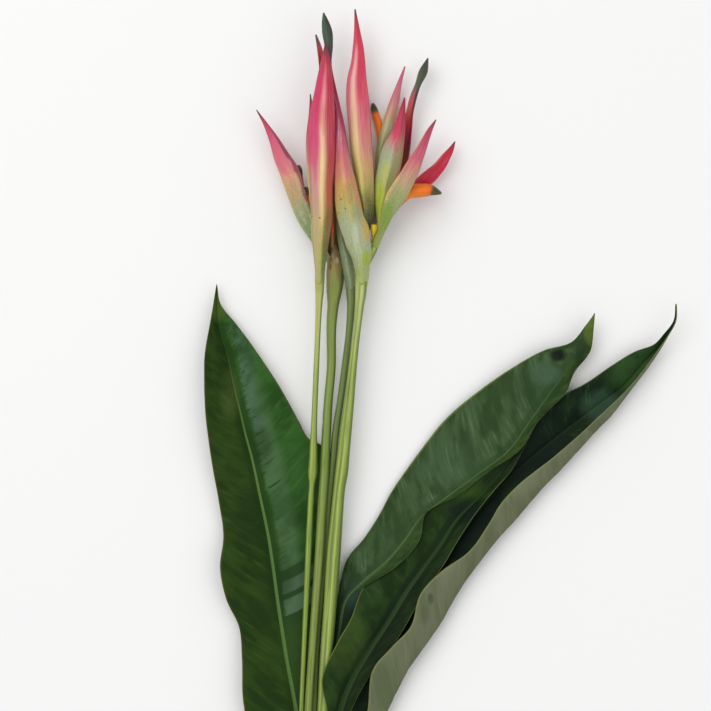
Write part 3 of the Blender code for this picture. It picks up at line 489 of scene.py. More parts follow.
class ShaderNodes(Nodes):
    """A material's nodes, round one Principled shader."""

    def __init__(self, name: str) -> None:
        """Start a material."""
        self.material = bpy.data.materials.new(name)
        self.material.use_nodes = True
        super().__init__(self.material.node_tree)

    def attributes(self, *names: str) -> list[Signal]:
        """Read some of the piece's own attributes."""
        kind = "ShaderNodeAttribute"
        return [self.read(kind, {}, "Fac", attribute_name=name) for name in names]

    def place(self) -> bpy.types.NodeSocket:
        """The piece's own coordinates, in metres."""
        return self.add("ShaderNodeTexCoord", {})["Object"]

    def ramp(self, value: Signal, stops: Stops) -> bpy.types.NodeSocket:
        """Colours along a signal.

        Args:
            value: The signal, from 0 to 1.
            stops: Places, each with its colour.

        Returns:
            The colour.
        """
        node = self.tree.nodes.new("ShaderNodeValToRGB")
        self.tree.links.new(value.socket, node.inputs["Fac"])
        elements = node.color_ramp.elements
        while len(elements) < len(stops):
            elements.new(1.0)
        for element, (place, *colour) in zip(elements, stops):
            element.position = place
            element.color = linear(colour)
        return node.outputs["Color"]

    def blend(self, share: Any, colour: Any, paint: Any) -> bpy.types.NodeSocket:
        """Paint over a colour.

        Args:
            share: How much of the paint.
            colour: The colour or a link to it.
            paint: The paint's colour or a link to it.

        Returns:
            The mixed colour.
        """
        first, second = (
            each if isinstance(each, bpy.types.NodeSocket) else linear(each)
            for each in (colour, paint)
        )
        return self.add("ShaderNodeMix", {0: share, 6: first, 7: second}, data_type="RGBA")[2]

    def tint(
        self, colour: Any, paint: Any, value: Signal, start: float, end: float, most: Any = 1.0
    ) -> bpy.types.NodeSocket:
        """Paint over a colour where a signal has passed a step.

        Args:
            colour: The colour or a link to it.
            paint: The paint's colour or a link to it.
            value: The signal.
            start: Where the paint sets in.
            end: Where there is most of it.
            most: Its share there.

        Returns:
            The mixed colour.
        """
        return self.blend(self.step(value, start, end) * most, colour, paint)

    def stamp(
        self, colour: Any, marks: tuple[Mark, ...], grain: Signal, start: float, end: float
    ) -> Any:
        """Paint marks that a grain breaks up.

        Args:
            colour: The colour or a link to it.
            marks: The marks.
            grain: The grain.
            start: The grain where a mark sets in.
            end: The grain where it is full.

        Returns:
            The mixed colour.
        """
        for mark in marks:
            x, y = self.level(self.place())
            x = (x / MM + (BUNCH_MIDDLE[0] - mark.spot[0])) / mark.reach[0]
            y = (y / MM + (BUNCH_MIDDLE[1] - mark.spot[1])) / mark.reach[1]
            oval = self.step(x * x + y * y, 1.0, 0.05) * mark.share
            colour = self.tint(colour, mark.colour, grain, start, end, oval)
        return colour

    def finish(
        self, colour: Any, rough: Any, height: Signal | None = None, depth: float = 0.0,
        gloss: float = 0.5
    ) -> bpy.types.Material:
        """Feed the shader.

        Args:
            colour: A link to the base colour.
            rough: The roughness.
            height: What is raised, from 0 to 1.
            depth: How far it is raised, in millimetres.
            gloss: The specular level.

        Returns:
            The finished material.
        """
        inputs = self.tree.nodes["Principled BSDF"].inputs
        self.tree.links.new(colour, inputs["Base Color"])
        inputs["Specular IOR Level"].default_value = gloss
        if isinstance(rough, Signal):
            self.tree.links.new(rough.socket, inputs["Roughness"])
        else:
            inputs["Roughness"].default_value = rough
        if height is not None:
            sockets = {"Height": height, "Distance": depth * MM, "Strength": 1.0}
            self.tree.links.new(self.add("ShaderNodeBump", sockets)[0], inputs["Normal"])
        return self.material


@dataclass(frozen=True)
class Band:
    """A stretch of a bract with another colour, between two sides and two heights: its own colour
    on most bracts, painted shade on some.
    """

    side: tuple[float, float]
    along: tuple[float, float]
    colour: Colour
    share: float = 0.7
    soft: float = 0.1

    def cover(self, nodes: ShaderNodes, side: Signal, along: Signal) -> Signal:
        """How much of the band lies on each place.

        Args:
            nodes: The material's nodes.
            side: Place across the bract, from -1 to 1.
            along: Place along the bract, from 0 to 1.

        Returns:
            The band's share.
        """
        share: Any = self.share
        for value, (low, high) in ((side, self.side), (along, self.along)):
            share = nodes.step(value, low, low + self.soft) * share
            share = nodes.step(value, high, high - self.soft) * share
        return share


@dataclass(frozen=True)
class BractFinish:
    """Waxy bract: colours from base to tip on each flank, the second flank painted lighter on some
    bracts and darker on others for light and shade, a soft keel stripe that is partly the keel's
    own cream colour and partly a painted highlight, grey bloom.
    """

    name: str
    low_flank: Stops
    # The keel stripe's colours: partly the keel's own cream colour, partly a painted highlight
    # along the keel.
    keel: Stops
    # The second flank's colours; where they differ from the first, that is painted light and
    # shade.
    high_flank: Stops = ()
    keel_reach: tuple[float, float] = (0.3, 0.16)
    keel_share: float = 0.8
    keel_place: tuple[float, float] = (0, 0)
    bands: tuple[Band, ...] = ()
    marks: tuple[Mark, ...] = ()
    margin: Colour = (190, 124, 106)
    margin_share: float = 0.22
    bloom_top: float = 0.3
    bloom: Colour = (172, 180, 164)
    bloom_share: float = 0.6
    # Span along the bract of the painted highlight flecks.
    shine: tuple[float, ...] = ()
    wander: float = 0.16
    rough: float = 0.42
    seed: float = 0

    def dress(self) -> bpy.types.Material:
        """Make the material."""
        nodes = ShaderNodes(self.name)
        along, side, length = nodes.attributes("along", "side", "length")
        fibre = nodes.noise((side * 7.0, length / 34.0, self.seed), 3.0, 0.6)
        hair = nodes.noise((side * 17.0, length / 22.0, self.seed + 2.0), 2.0)
        broad = nodes.noise((side * 1.6, length / 13.0, self.seed + 5.0), 3.0)
        drift = broad + fibre - 1.0
        shifted = along + drift * self.wander
        colour = nodes.ramp(shifted, self.low_flank)
        # Painted light and shade: the second flank gets its own lighter and darker colours.
        if self.high_flank:
            high = nodes.ramp(shifted, self.high_flank)
            colour = nodes.tint(colour, high, side, -0.12, 0.12)
        # Keel stripe: partly the keel's own cream colour, partly a painted highlight.
        base, tip = self.keel_reach
        start, end = self.keel_place
        beside = abs(side - (along * (end - start) + start)) + (fibre - 0.5) * 0.16
        beside = beside / (along * (tip - base) + base)
        keel = nodes.ramp(shifted, self.keel)
        colour = nodes.tint(colour, keel, beside, 1.15, 0.0, self.keel_share)
        edge = abs(side) + (broad - 0.5) * 0.1
        colour = nodes.tint(colour, self.margin, edge, 0.82, 1.0, self.margin_share)
        for band in self.bands:
            share = band.cover(nodes, side + drift * 0.25, shifted)
            colour = nodes.blend(share, colour, band.colour)
        colour = self._weather(nodes, colour, shifted, fibre)
        colour = nodes.stamp(colour, self.marks, fibre, 0.2, 0.5)
        colour = nodes.tint(colour, (70, 34, 40), hair, 0.53, 0.74, 0.2475)
        colour = nodes.tint(colour, (246, 222, 206), hair, 0.46, 0.24, 0.16)
        rough = (fibre - 0.5) * 0.2 + self.rough
        return nodes.finish(colour, rough, fibre * 0.4 + hair * 0.6, 0.2, 0.3)

    def _weather(self, nodes: ShaderNodes, colour: Any, shifted: Signal, fibre: Signal) -> Any:
        """Add the grey bloom, small brown specks and the painted highlight flecks.

        Args:
            nodes: The material's nodes.
            colour: The colour so far.
            shifted: Place along the bract, with its wander.
            fibre: The lengthwise fibres.

        Returns:
            The weathered colour.
        """
        side, length = nodes.attributes("side", "length")
        fleck = nodes.noise((side * 5.0, length / 2.6, self.seed + 9.0), 4.0, 0.7)
        low = nodes.step(shifted, self.bloom_top, self.bloom_top - 0.24)
        ragged = fleck + (fibre - 0.5) * 0.6
        colour = nodes.tint(colour, self.bloom, ragged, 0.36, 0.68, low * self.bloom_share)
        colour = nodes.tint(colour, (112, 116, 50), fleck, 0.5, 0.3, low * 0.21)
        grain = nodes.noise((side * 11.0, length / 1.5, self.seed + 11.0), 3.0, 0.8)
        waxy = nodes.step(shifted, self.bloom_top + 0.22, self.bloom_top - 0.1)
        colour = nodes.tint(colour, (232, 232, 214), grain, 0.54, 0.68, waxy * 0.3)
        colour = nodes.tint(colour, (88, 92, 40), grain, 0.46, 0.34, waxy * 0.275)
        pit = nodes.noise((side * 4.0, length / 3.7, self.seed + 3.4), 4.0, 0.8)
        colour = nodes.tint(colour, (104, 70, 44), pit, 0.7, 0.76, 0.65)
        # Painted highlight: white flecks of shine a little left of the middle.
        if self.shine:
            start, end = self.shine
            spark = nodes.noise((side * 7.0, length / 11.0, self.seed + 7.0), 4.0, 0.7)
            within = nodes.step(shifted, start, start + 0.05)
            within = within * nodes.step(shifted, end, end - 0.05)
            left = within * nodes.step(abs(side + 0.2), 0.5, 0.1) * 0.8
            colour = nodes.tint(colour, (250, 226, 226), spark, 0.5, 0.66, left)
        return colour


@dataclass(frozen=True)
class StemFinish:
    """Fresh green stem with fine lengthwise streaks, painted highlight stripes, and painted shade
    along its right side.
    """

    name: str
    body: Stops
    # Colours of the fine streaks and of the darker mottling; they also paint the highlight stripes
    # and the shade.
    streak: Colour
    shade: Colour
    # Where across the stem the painted highlight stripes lie; the second one is optional.
    highlight_turn: float
    second: float | None = None
    marks: tuple[Mark, ...] = ()
    seed: float = 0

    def dress(self) -> bpy.types.Material:
        """Make the material."""
        nodes = ShaderNodes(self.name)
        along, length, x, y = nodes.attributes("along", "length", "turn_x", "turn_y")
        fine = nodes.noise((x * 2.6 + self.seed, y * 2.6, length / 70.0), 3.0, 0.65, 1.6)
        broad = nodes.noise((x + self.seed, y, length / 26.0), 3.0, scale=1.3)
        colour = nodes.ramp(along + (broad - 0.5) * 0.06, self.body)
        ragged = (fine - 0.5) * 0.3
        # Painted highlight: a stripe of the streak colour where light falls along the stem.
        lit = abs(x - self.highlight_turn) + ragged
        colour = nodes.tint(colour, self.streak, lit, 0.35, 0.0, 0.45)
        # Painted shade between the two highlight stripes, then the second painted highlight
        # stripe.
        if self.second is not None:
            shade_between_highlights = abs(x - (self.highlight_turn + self.second) / 2) + (fine - 0.5) * 0.2
            colour = nodes.tint(colour, self.shade, shade_between_highlights, 0.26, 0.08, 0.55)
            lit = abs(x - self.second) + ragged
            colour = nodes.tint(colour, self.streak, lit, 0.3, 0.0, 0.6)
        colour = nodes.tint(colour, self.streak, fine, 0.5, 0.7, 0.5)
        colour = nodes.tint(colour, self.shade, fine, 0.5, 0.3, 0.65)
        colour = nodes.tint(colour, self.shade, broad, 0.52, 0.8, 0.4)
        # Painted shade along the stem's right side.
        colour = nodes.tint(colour, self.shade, x + ragged, 0.25, 0.95, 0.8)
        colour = nodes.stamp(colour, self.marks, fine, 0.3, 0.6)
        colour = nodes.tint(colour, (206, 206, 150), length, 0.5, 0.2)
        return nodes.finish(colour, (fine - 0.5) * 0.15 + 0.48, fine, 0.12, 0.3)


@dataclass(frozen=True)
class FloretFinish:
    """Smooth floret: colour from base to tip with faint lengthwise lines."""

    name: str
    body: Stops
    seed: float = 0

    def dress(self) -> bpy.types.Material:
        """Make the material."""
        nodes = ShaderNodes(self.name)
        along, length, x, y = nodes.attributes("along", "length", "turn_x", "turn_y")
        fine = nodes.noise((x * 4.0 + self.seed, y * 4.0, length / 4.0), 4.0, 0.7, 1.4)
        colour = nodes.ramp(along + (fine - 0.5) * 0.06, self.body)
        colour = nodes.tint(colour, (255, 196, 80), fine, 0.5, 0.66, 0.24)
        colour = nodes.tint(colour, (168, 60, 14), fine, 0.46, 0.3, 0.24)
        return nodes.finish(colour, 0.4, fine, 0.25, 0.35)


@dataclass(frozen=True)
class HalfTone:
    """Colours of one half of a blade, which carry painted light and shade where one half is lit
    and the other shaded, and its valley beside the midrib, darker on the upper sides as painted
    shade in the fold.
    """

    body: Colour
    deep: Colour
    streak: Colour
    valley: Colour
    valley_share: float = 0.6
    valley_width: float = 4.5


@dataclass(frozen=True)
class VeinMark:
    """A band that follows one side vein of the right half; the light bands paint sheen."""

    start: float
    end: float
    colour: Colour
    share: float = 0.7
    near: float = 3
    far: float = 60
    soft: float = 0.6
    patchy: float = 0

    def cover(
        self, nodes: ShaderNodes, vein: Signal, out: Signal, grains: tuple[Signal, ...]
    ) -> Signal:
        """How much of the band lies on each place.

        Args:
            nodes: The material's nodes.
            vein: Place along the midrib where the place's side vein starts.
            out: Distance from the midrib.
            grains: Wide vein bands, thin vein streaks and patches.

        Returns:
            The band's share.
        """
        wide, thin, patch = grains
        place = vein + (thin - 0.5) * 2.0
        ragged = out + (thin - 0.5) * 5.0 + (patch - 0.5) * 8.0
        share = nodes.step(place, self.start - 0.6, self.start + 0.6)
        share = share * nodes.step(place, self.end + self.soft, self.end - self.soft)
        share = share * nodes.step(ragged, self.near - 1.0, self.near + 1.0)
        share = share * nodes.step(ragged, self.far + 4.0, self.far - 4.0) * self.share
        patches = nodes.step(patch + (wide - 0.5) * 0.6, 0.3, 0.62) * self.patchy
        return share * (patches + (1.0 - self.patchy))


@dataclass(frozen=True)
class LeafFinish:
    """Upper or under side of a leaf: side veins, pale midrib, thin pale margin, halves with
    painted light and shade, painted sheen along some vein bands, and marks that are partly painted
    shadow, shade and sheen.
    """

    name: str
    left: HalfTone
    right: HalfTone
    rib: Colour
    margin: Colour
    margin_share: float = 0.75
    rib_width: float = 1.15
    rib_share: float = 1
    rib_fade: float = 0.8
    streak_share: float = 0.5
    band_share: float = 0.5
    marks: tuple[Mark, ...] = ()
    vein_marks: tuple[VeinMark, ...] = ()
    ticks: float = 0
    rough: float = 0.5
    gloss: float = 0.07
    bump_mm: float = 0.3
    seed: float = 0

    def dress(self) -> bpy.types.Material:
        """Make the material."""
        nodes = ShaderNodes(self.name)
        vein, out, side, along, rib = nodes.attributes("vein", "out", "side", "along", "rib")
        where = side * 2.0 + self.seed
        wide = nodes.noise((vein / 8.0, out / 60.0, where), 2.0)
        thin = nodes.noise((vein / 1.5, out / 50.0, where + 4.0), 3.0, 0.6)
        patch = nodes.noise(nodes.place(), 4.0, 0.6, 26.0)
        grains = (wide, thin, patch)
        right_side = nodes.step(side, -0.01, 0.01)
        left, right = (self._half(nodes, tone, out, grains) for tone in (self.left, self.right))
        # Painted light and shade: each half has its own lighter and darker colours.
        colour = nodes.blend(right_side, left, right)
        # Vein bands of the right half, which paint sheen where they are light.
        for band in self.vein_marks:
            share = band.cover(nodes, vein, out, grains) * right_side
            colour = nodes.blend(share, colour, band.colour)
        # Marks: the leaf's own blots, and also painted shadow, shade and sheen.
        colour = nodes.stamp(colour, self.marks, patch, 0.2, 0.6)
        if self.ticks:
            tick = nodes.noise((vein / 1.3, out / 13.0, where + 7.0), 2.0)
            beside = nodes.step(out, 4.0, 6.5) * nodes.step(out, 17.0, 8.0) * self.ticks
            colour = nodes.tint(colour, self.right.valley, tick, 0.6, 0.68, beside)
        edge = abs(side) + (thin - 0.5) * 0.02
        colour = nodes.tint(colour, self.margin, edge, 0.96, 0.99, self.margin_share)
        streaked = nodes.tint(self.rib, self.left.streak, thin, 0.4, 0.7, 0.3)
        shown = nodes.step(along, 0.97, self.rib_fade) * self.rib_share
        width = self.rib_width
        colour = nodes.tint(colour, streaked, out / rib, width, width * 0.6, shown)
        rough = (thin - 0.5) * 0.1 + (patch - 0.5) * 0.12 + self.rough
        return nodes.finish(colour, rough, thin * 0.5 + wide * 0.5, self.bump_mm, self.gloss)

    def _half(
        self, nodes: ShaderNodes, tone: HalfTone, out: Signal, grains: tuple[Signal, ...]
    ) -> bpy.types.NodeSocket:
        """Colour of one half.

        Args:
            nodes: The material's nodes.
            tone: The half's colours.
            out: Distance from the midrib.
            grains: Wide vein bands, thin vein streaks and patches.

        Returns:
            The colour.
        """
        wide, thin, patch = grains
        colour = nodes.tint(tone.deep, tone.body, patch, 0.35, 0.65, 0.7)
        colour = nodes.tint(colour, tone.body, wide, 0.4, 0.64, self.band_share)
        colour = nodes.tint(colour, tone.deep, wide, 0.5, 0.34, self.band_share)
        bands = nodes.step(wide, 0.36, 0.6) * self.streak_share
        colour = nodes.tint(colour, tone.streak, thin, 0.5, 0.74, bands)
        # Painted shade in the fold beside the midrib.
        near, width = out + (wide - 0.5) * 2.0, tone.valley_width
        return nodes.tint(colour, tone.valley, near, width + 1.5, width - 1.0, tone.valley_share)


@dataclass(frozen=True)
class RaffiaFinish:
    """Dry straw-coloured strands."""

    name: str = "dry_raffia"
    pale: Colour = (214, 190, 142)
    brown: Colour = (158, 124, 76)

    def dress(self) -> bpy.types.Material:
        """Make the material."""
        nodes = ShaderNodes(self.name)
        length, x, y, strand = nodes.attributes("length", "turn_x", "turn_y", "strand")
        where = (x * 6.0 + strand * 3.7, y * 6.0, length * 2.0)
        fibre = nodes.noise(where, 4.0, 0.7, 1.5)
        colour = nodes.tint(self.brown, self.pale, fibre, 0.35, 0.7)
        return nodes.finish(colour, 0.78, fibre, 0.15)


@dataclass(frozen=True)
class FloorFinish:
    """Plain pale studio floor."""

    name: str = "studio_floor"
    colour: Colour = (243.445, 243.445, 242.848)
    dust: Colour = (231.115, 231.115, 231.115)

    def dress(self) -> bpy.types.Material:
        """Make the material."""
        nodes = ShaderNodes(self.name)
        grain = nodes.noise(nodes.place(), 2.0, scale=40.0)
        return nodes.finish(nodes.blend(grain * 0.02, self.colour, self.dust), 0.85)


class GrowthNodes(Nodes):
    """A geometry tree with named inputs, used as a modifier and then applied."""

    def __init__(self, name: str, inputs: dict[str, str]) -> None:
        """Start a tree.

        Args:
            name: The tree's name.
            inputs: Names of its inputs and their kinds.
        """
        super().__init__(bpy.data.node_groups.new(name, "GeometryNodeTree"))
        face = self.tree.interface
        self.sockets = {}
        for key, kind in {"Geometry": "Geometry", **inputs}.items():
            made = face.new_socket(key, in_out="INPUT", socket_type="NodeSocket" + kind)
            self.sockets[key] = made.identifier
        face.new_socket("Geometry", in_out="OUTPUT", socket_type="NodeSocketGeometry")
        self.start = self.tree.nodes.new("NodeGroupInput")
        self.end = self.tree.nodes.new("NodeGroupOutput")

    def given(self, key: str) -> Signal:
        """One of the tree's named inputs."""
        return Signal(self.tree, self.start.outputs[key])

    def attribute(self, name: str, data_type: str = "FLOAT") -> Signal:
        """Read what is kept on the points under a name."""
        kind = "GeometryNodeInputNamedAttribute"
        return self.read(kind, {"Name": name}, data_type=data_type)

    def keep(self, geometry: Any, name: str, value: Any, domain: str = "POINT") -> Any:
        """Keep a number on the points or the curves.

        Args:
            geometry: The geometry.
            name: The attribute's name.
            value: The number.
            domain: What it is kept on.

        Returns:
            The geometry with the attribute.
        """
        sockets = {"Geometry": geometry, "Name": name, "Value": value}
        kind = "GeometryNodeStoreNamedAttribute"
        return self.add(kind, sockets, data_type="FLOAT", domain=domain)[0]

    def shift(self, geometry: Any, way: Any, amount: Signal) -> bpy.types.NodeSocket:
        """Move points along a direction.

        Args:
            geometry: The geometry.
            way: The direction.
            amount: How far, in metres.

        Returns:
            The moved geometry.
        """
        sockets = {"Vector": way, "Scale": amount}
        offset = self.add("ShaderNodeVectorMath", sockets, operation="SCALE")[0]
        return self.add("GeometryNodeSetPosition", {"Geometry": geometry, "Offset": offset})[0]

    def line(self) -> bpy.types.NodeSocket:
        """The piece's loose edges as a curve."""
        return self.add("GeometryNodeMeshToCurve", {"Mesh": self.given("Geometry")})[0]

    def ring(self, sides: Any) -> tuple[Any, Any]:
        """A round profile that keeps its turn as two numbers.

        Args:
            sides: How many sides it has.

        Returns:
            The profile, and the place of its points.
        """
        sockets = {"Resolution": sides, "Radius": 1.0}
        ring = self.add("GeometryNodeCurvePrimitiveCircle", sockets)[0]
        place = self.add("GeometryNodeInputPosition", {})[0]
        for name, part in zip(("turn_x", "turn_y"), self.level(place)):
            ring = self.keep(ring, name, part)
        return ring, place

    def close(self, geometry: Any, under: Signal | None = None) -> None:
        """End the tree with real geometry, smooth shading and its skins.

        Args:
            geometry: The geometry.
            under: 1 where the under skin lies.
        """
        last = self.add("GeometryNodeSetShadeSmooth", {"Geometry": geometry})[0]
        last = self.add("GeometryNodeRealizeInstances", {"Geometry": last})[0]
        sockets = {"Geometry": last, "Material": self.given("Skin")}
        last = self.add("GeometryNodeSetMaterial", sockets)[0]
        if under is not None:
            sockets = {"Geometry": last, "Selection": under, "Material": self.given("Under Skin")}
            last = self.add("GeometryNodeSetMaterial", sockets)[0]
        self.tree.links.new(last, self.end.inputs[0])

    def grow(self, piece: bpy.types.Object, values: dict[str, Any]) -> None:
        """Run the tree on a piece and keep the result as its plain mesh.

        Args:
            piece: The piece.
            values: The tree's named inputs.
        """
        modifier = piece.modifiers.new("growth", "NODES")
        modifier.node_group = self.tree
        for key, value in values.items():
            modifier[self.sockets[key]] = value
        bpy.context.view_layer.update()
        depsgraph = bpy.context.evaluated_depsgraph_get()
        grown = bpy.data.meshes.new_from_object(
            piece.evaluated_get(depsgraph), preserve_all_data_layers=True, depsgraph=depsgraph
        )
        piece.modifiers.remove(modifier)
        old = piece.data
        piece.data = grown
        grown.name = piece.name
        bpy.data.meshes.remove(old)


def tube_tree() -> GrowthNodes:
    """A tree that turns a line of points into a round, lightly ridged tube."""
    inputs = {"Sides": "Int", "Lobes": "Float", "Lobe Depth": "Float", "Skin": "Material"}
    nodes = GrowthNodes("round_tube", inputs)
    line = nodes.line()
    ring, place = nodes.ring(nodes.given("Sides"))
    turn = nodes.attribute("turn_y").angle_with(nodes.attribute("turn_x"))
    lobe = (turn * nodes.given("Lobes")).sine() * nodes.given("Lobe Depth")
    ring = nodes.shift(ring, place, lobe)
    sockets = {"Curve": line, "Profile Curve": ring, "Scale": nodes.attribute("thick")}
    nodes.close(nodes.add("GeometryNodeCurveToMesh", {**sockets, "Fill Caps": True})[0])
    return nodes


def skin_tree() -> GrowthNodes:
    """A tree that lifts a sheet's skin by soft noise along its veins."""
    numbers = dict.fromkeys(("Pleat", "Pleat Width", "Ripple", "Seed"), "Float")
    inputs = {**numbers, "Skin": "Material", "Under Skin": "Material"}
    nodes = GrowthNodes("living_skin", inputs)
    seed = nodes.given("Seed")
    vein, out = nodes.attribute("vein"), nodes.attribute("out")
    reach, calm = nodes.attribute("side"), nodes.attribute("calm")
    fold = nodes.noise((vein / nodes.given("Pleat Width"), out / 70.0, seed), 1.5) - 0.5
    wave = nodes.noise((vein / 26.0, reach * 0.6, seed + 7.0), 1.0, 0.4) - 0.5
    ripple = wave * nodes.given("Ripple") * nodes.step(abs(reach), 0.45, 1.0)
    amount = (fold * nodes.given("Pleat") + ripple) * calm
    lift = nodes.attribute("lift", "FLOAT_VECTOR")
    moved = nodes.shift(nodes.given("Geometry"), lift, amount)
    nodes.close(moved, nodes.step(nodes.attribute("under"), 0.4, 0.6))
    return nodes


def strand_tree() -> GrowthNodes:
    """A tree that lays many flat strands side by side round a closed line."""
    names = ("Band Width", "Strand Width", "Strand Depth", "Wander", "Seed")
    inputs = {"Strands": "Int", **dict.fromkeys(names, "Float"), "Skin": "Material"}
    nodes = GrowthNodes("raffia_strands", inputs)
    sockets = {"Geometry": nodes.line(), "Amount": nodes.given("Strands")}
    copies = nodes.add("GeometryNodeDuplicateElements", sockets, domain="SPLINE")
    kept = nodes.keep(copies[0], "strand", copies[1], "CURVE")
    strand = nodes.attribute("strand")
    angle = nodes.attribute("length") * math.tau
    where = (strand * 3.1 + nodes.given("Seed"), angle.sine(), (angle + math.pi / 2.0).sine())
    wander = nodes.noise(where, 1.0, scale=1.3) - 0.5
    share = (strand + 0.5) / nodes.given("Strands") - 0.5
    sideways = share * nodes.given("Band Width") + wander * nodes.given("Wander")
    laid = nodes.shift(kept, nodes.vector(0.0, 1.0, 0.0), sideways)
    ring, _ = nodes.ring(10)
    wide = nodes.attribute("turn_x") * nodes.given("Strand Width")
    deep = nodes.attribute("turn_y") * nodes.given("Strand Depth")
    sockets = {"Geometry": ring, "Position": nodes.vector(wide, deep, 0.0)}
    flat = nodes.add("GeometryNodeSetPosition", sockets)[0]
    nodes.close(nodes.add("GeometryNodeCurveToMesh", {"Curve": laid, "Profile Curve": flat})[0])
    return nodes


def distances(points: np.ndarray) -> np.ndarray:
    """The way from the first point to each point, along the line through them."""
    return np.concatenate([[0.0], np.cumsum(np.linalg.norm(np.diff(points, axis=0), axis=1))])


def unit(vectors: np.ndarray) -> np.ndarray:
    """Scale vectors to a length of one."""
    return vectors / np.maximum(np.linalg.norm(vectors, axis=-1, keepdims=True), 1e-9)


def share_of(value: Any) -> Any:
    """Numbers held between 0 and 1."""
    return np.clip(value, 0.0, 1.0)


def wall_at(share: np.ndarray) -> np.ndarray:
    """Thickness of a sheet at places across it, from -1 to 1."""
    return WALL + (MARGIN_WALL - WALL) * np.abs(share) ** 3


def smooth_rows(stations: Any, count: int) -> np.ndarray:
    """Read rows at even steps from a smooth curve through the stations.

    Args:
        stations: Places along a piece, each with its sizes.
        count: The number of rows.

    Returns:
        The rows.
    """
    points = np.array(stations, dtype=float)
    knots = distances(points[:, :3])
    slopes = np.gradient(points, knots, axis=0)
    place = np.linspace(0.0, knots[-1], count)
    span = np.clip(np.searchsorted(knots, place, side="right") - 1, 0, len(knots) - 2)
    width = (knots[span + 1] - knots[span])[:, None]
    t = ((place - knots[span])[:, None]) / width
    return (
        (2 * t**3 - 3 * t**2 + 1) * points[span]
        + (t**3 - 2 * t**2 + t) * width * slopes[span]
        + (3 * t**2 - 2 * t**3) * points[span + 1]
        + (t**3 - t**2) * width * slopes[span + 1]
    )


def new_piece(
    node: str, corners: np.ndarray, edges: list, faces: list, values: dict[str, np.ndarray]
) -> bpy.types.Object:
    """Make the object that stands for a node, from corners in millimetres.

    Args:
        node: The node's name.
        corners: Its corners in the bunch's frame.
        edges: Its loose edges.
        faces: Its faces.
        values: Numbers or directions kept on its corners.

    Returns:
        The object.
    """
    mesh = bpy.data.meshes.new(node + "_grown")
    mesh.from_pydata(((corners - BUNCH_MIDDLE) * MM).tolist(), edges, faces)
    for key, value in values.items():
        kind, field = ("FLOAT", "value") if value.ndim == 1 else ("FLOAT_VECTOR", "vector")
        mesh.attributes.new(key, kind, "POINT").data.foreach_set(field, value.ravel())
    piece = bpy.data.objects.new(node + "_grown", mesh)
    bpy.context.collection.objects.link(piece)
    return piece


def new_sheet(
    node: str, upper: np.ndarray, lower: np.ndarray, lift: np.ndarray, values: dict[str, Any]
) -> bpy.types.Object:
    """Make a closed sheet: an upper grid, a lower grid and the rim between them.

    Args:
        node: The name of the node that it stands for.
        upper: Corners of the upper grid.
        lower: Corners of the lower grid.
        lift: Directions in which the skin lifts.
        values: Numbers kept on the corners of both grids.

    Returns:
        The object.
    """
    shape = lift.shape[:2]
    kept = {
        key: np.concatenate([np.broadcast_to(value, shape).ravel()] * 2)
        for key, value in values.items()
    }
    kept["lift"] = np.concatenate([lift.reshape(-1, 3)] * 2)
    count = shape[0] * shape[1]
    kept["under"] = np.repeat([0.0, 1.0], count)
    grid = np.arange(count).reshape(shape)
    a, b = grid[:-1, :-1].ravel(), grid[:-1, 1:].ravel()
    c, d = grid[1:, 1:].ravel(), grid[1:, :-1].ravel()
    rim = np.concatenate([grid[0], grid[1:, -1], grid[-1, -2::-1], grid[-2:0:-1, 0]])
    after = np.roll(rim, -1)
    edge = (rim, after, after + count, rim + count)
    quads = ((a, d, c, b), np.array((a, b, c, d)) + count, edge)
    faces = np.concatenate([np.stack(quad, axis=1) for quad in quads]).tolist()
    corners = np.concatenate([upper.reshape(-1, 3), lower.reshape(-1, 3)])
    return new_piece(node, corners, [], faces, kept)


def complete(
    piece: bpy.types.Object, node: str, tree: GrowthNodes, inputs: dict[str, Any]
) -> None:
    """Grow a piece with its skins, turn its faces outwards, hang it on its body and hide the part
    that it stands for.

    Args:
        piece: The piece.
        node: The node that it stands for.
        tree: The tree that grows it.
        inputs: The tree's named inputs.
    """
    tree.grow(piece, inputs)
    mesh = piece.data
    mesh.calc_loop_triangles()
    corners = np.array([tuple(corner.co) for corner in mesh.vertices])
    faces = np.array([tuple(face.vertices) for face in mesh.loop_triangles])
    a, b, c = corners[faces[:, 0]], corners[faces[:, 1]], corners[faces[:, 2]]
    if np.einsum("ij,ij->i", a, np.cross(b, c)).sum() < 0.0:
        mesh.flip_normals()
    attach(piece, BODY)
    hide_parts(node)
    LOG.info("%s: %d faces", piece.name, len(piece.data.polygons))


@dataclass
class Tube:
    """A round piece along stations of x, y, z and radius: a stem or a floret."""

    node: str
    slot: Slot
    finish: Any
    stations: tuple[Station, ...]
    rows: int = 240
    sides: int = 28
    lobes: float = 5.0
    lobe_depth: float = 0.03

    def build(self, tree: GrowthNodes) -> None:
        """Grow the tube.

        Args:
            tree: The tree that turns a line into a tube.
        """
        read = smooth_rows(self.stations, self.rows)
        length = distances(read[:, :3])
        values = {"thick": read[:, 3] * MM, "along": length / length[-1], "length": length}
        edges = [(row, row + 1) for row in range(self.rows - 1)]
        piece = new_piece(self.node, read[:, :3], edges, [], values)
        inputs = {
            "Sides": self.sides,
            "Lobes": self.lobes,
            "Lobe Depth": self.lobe_depth,
            "Skin": self.finish.dress(),
        }
        complete(piece, self.node, tree, inputs)


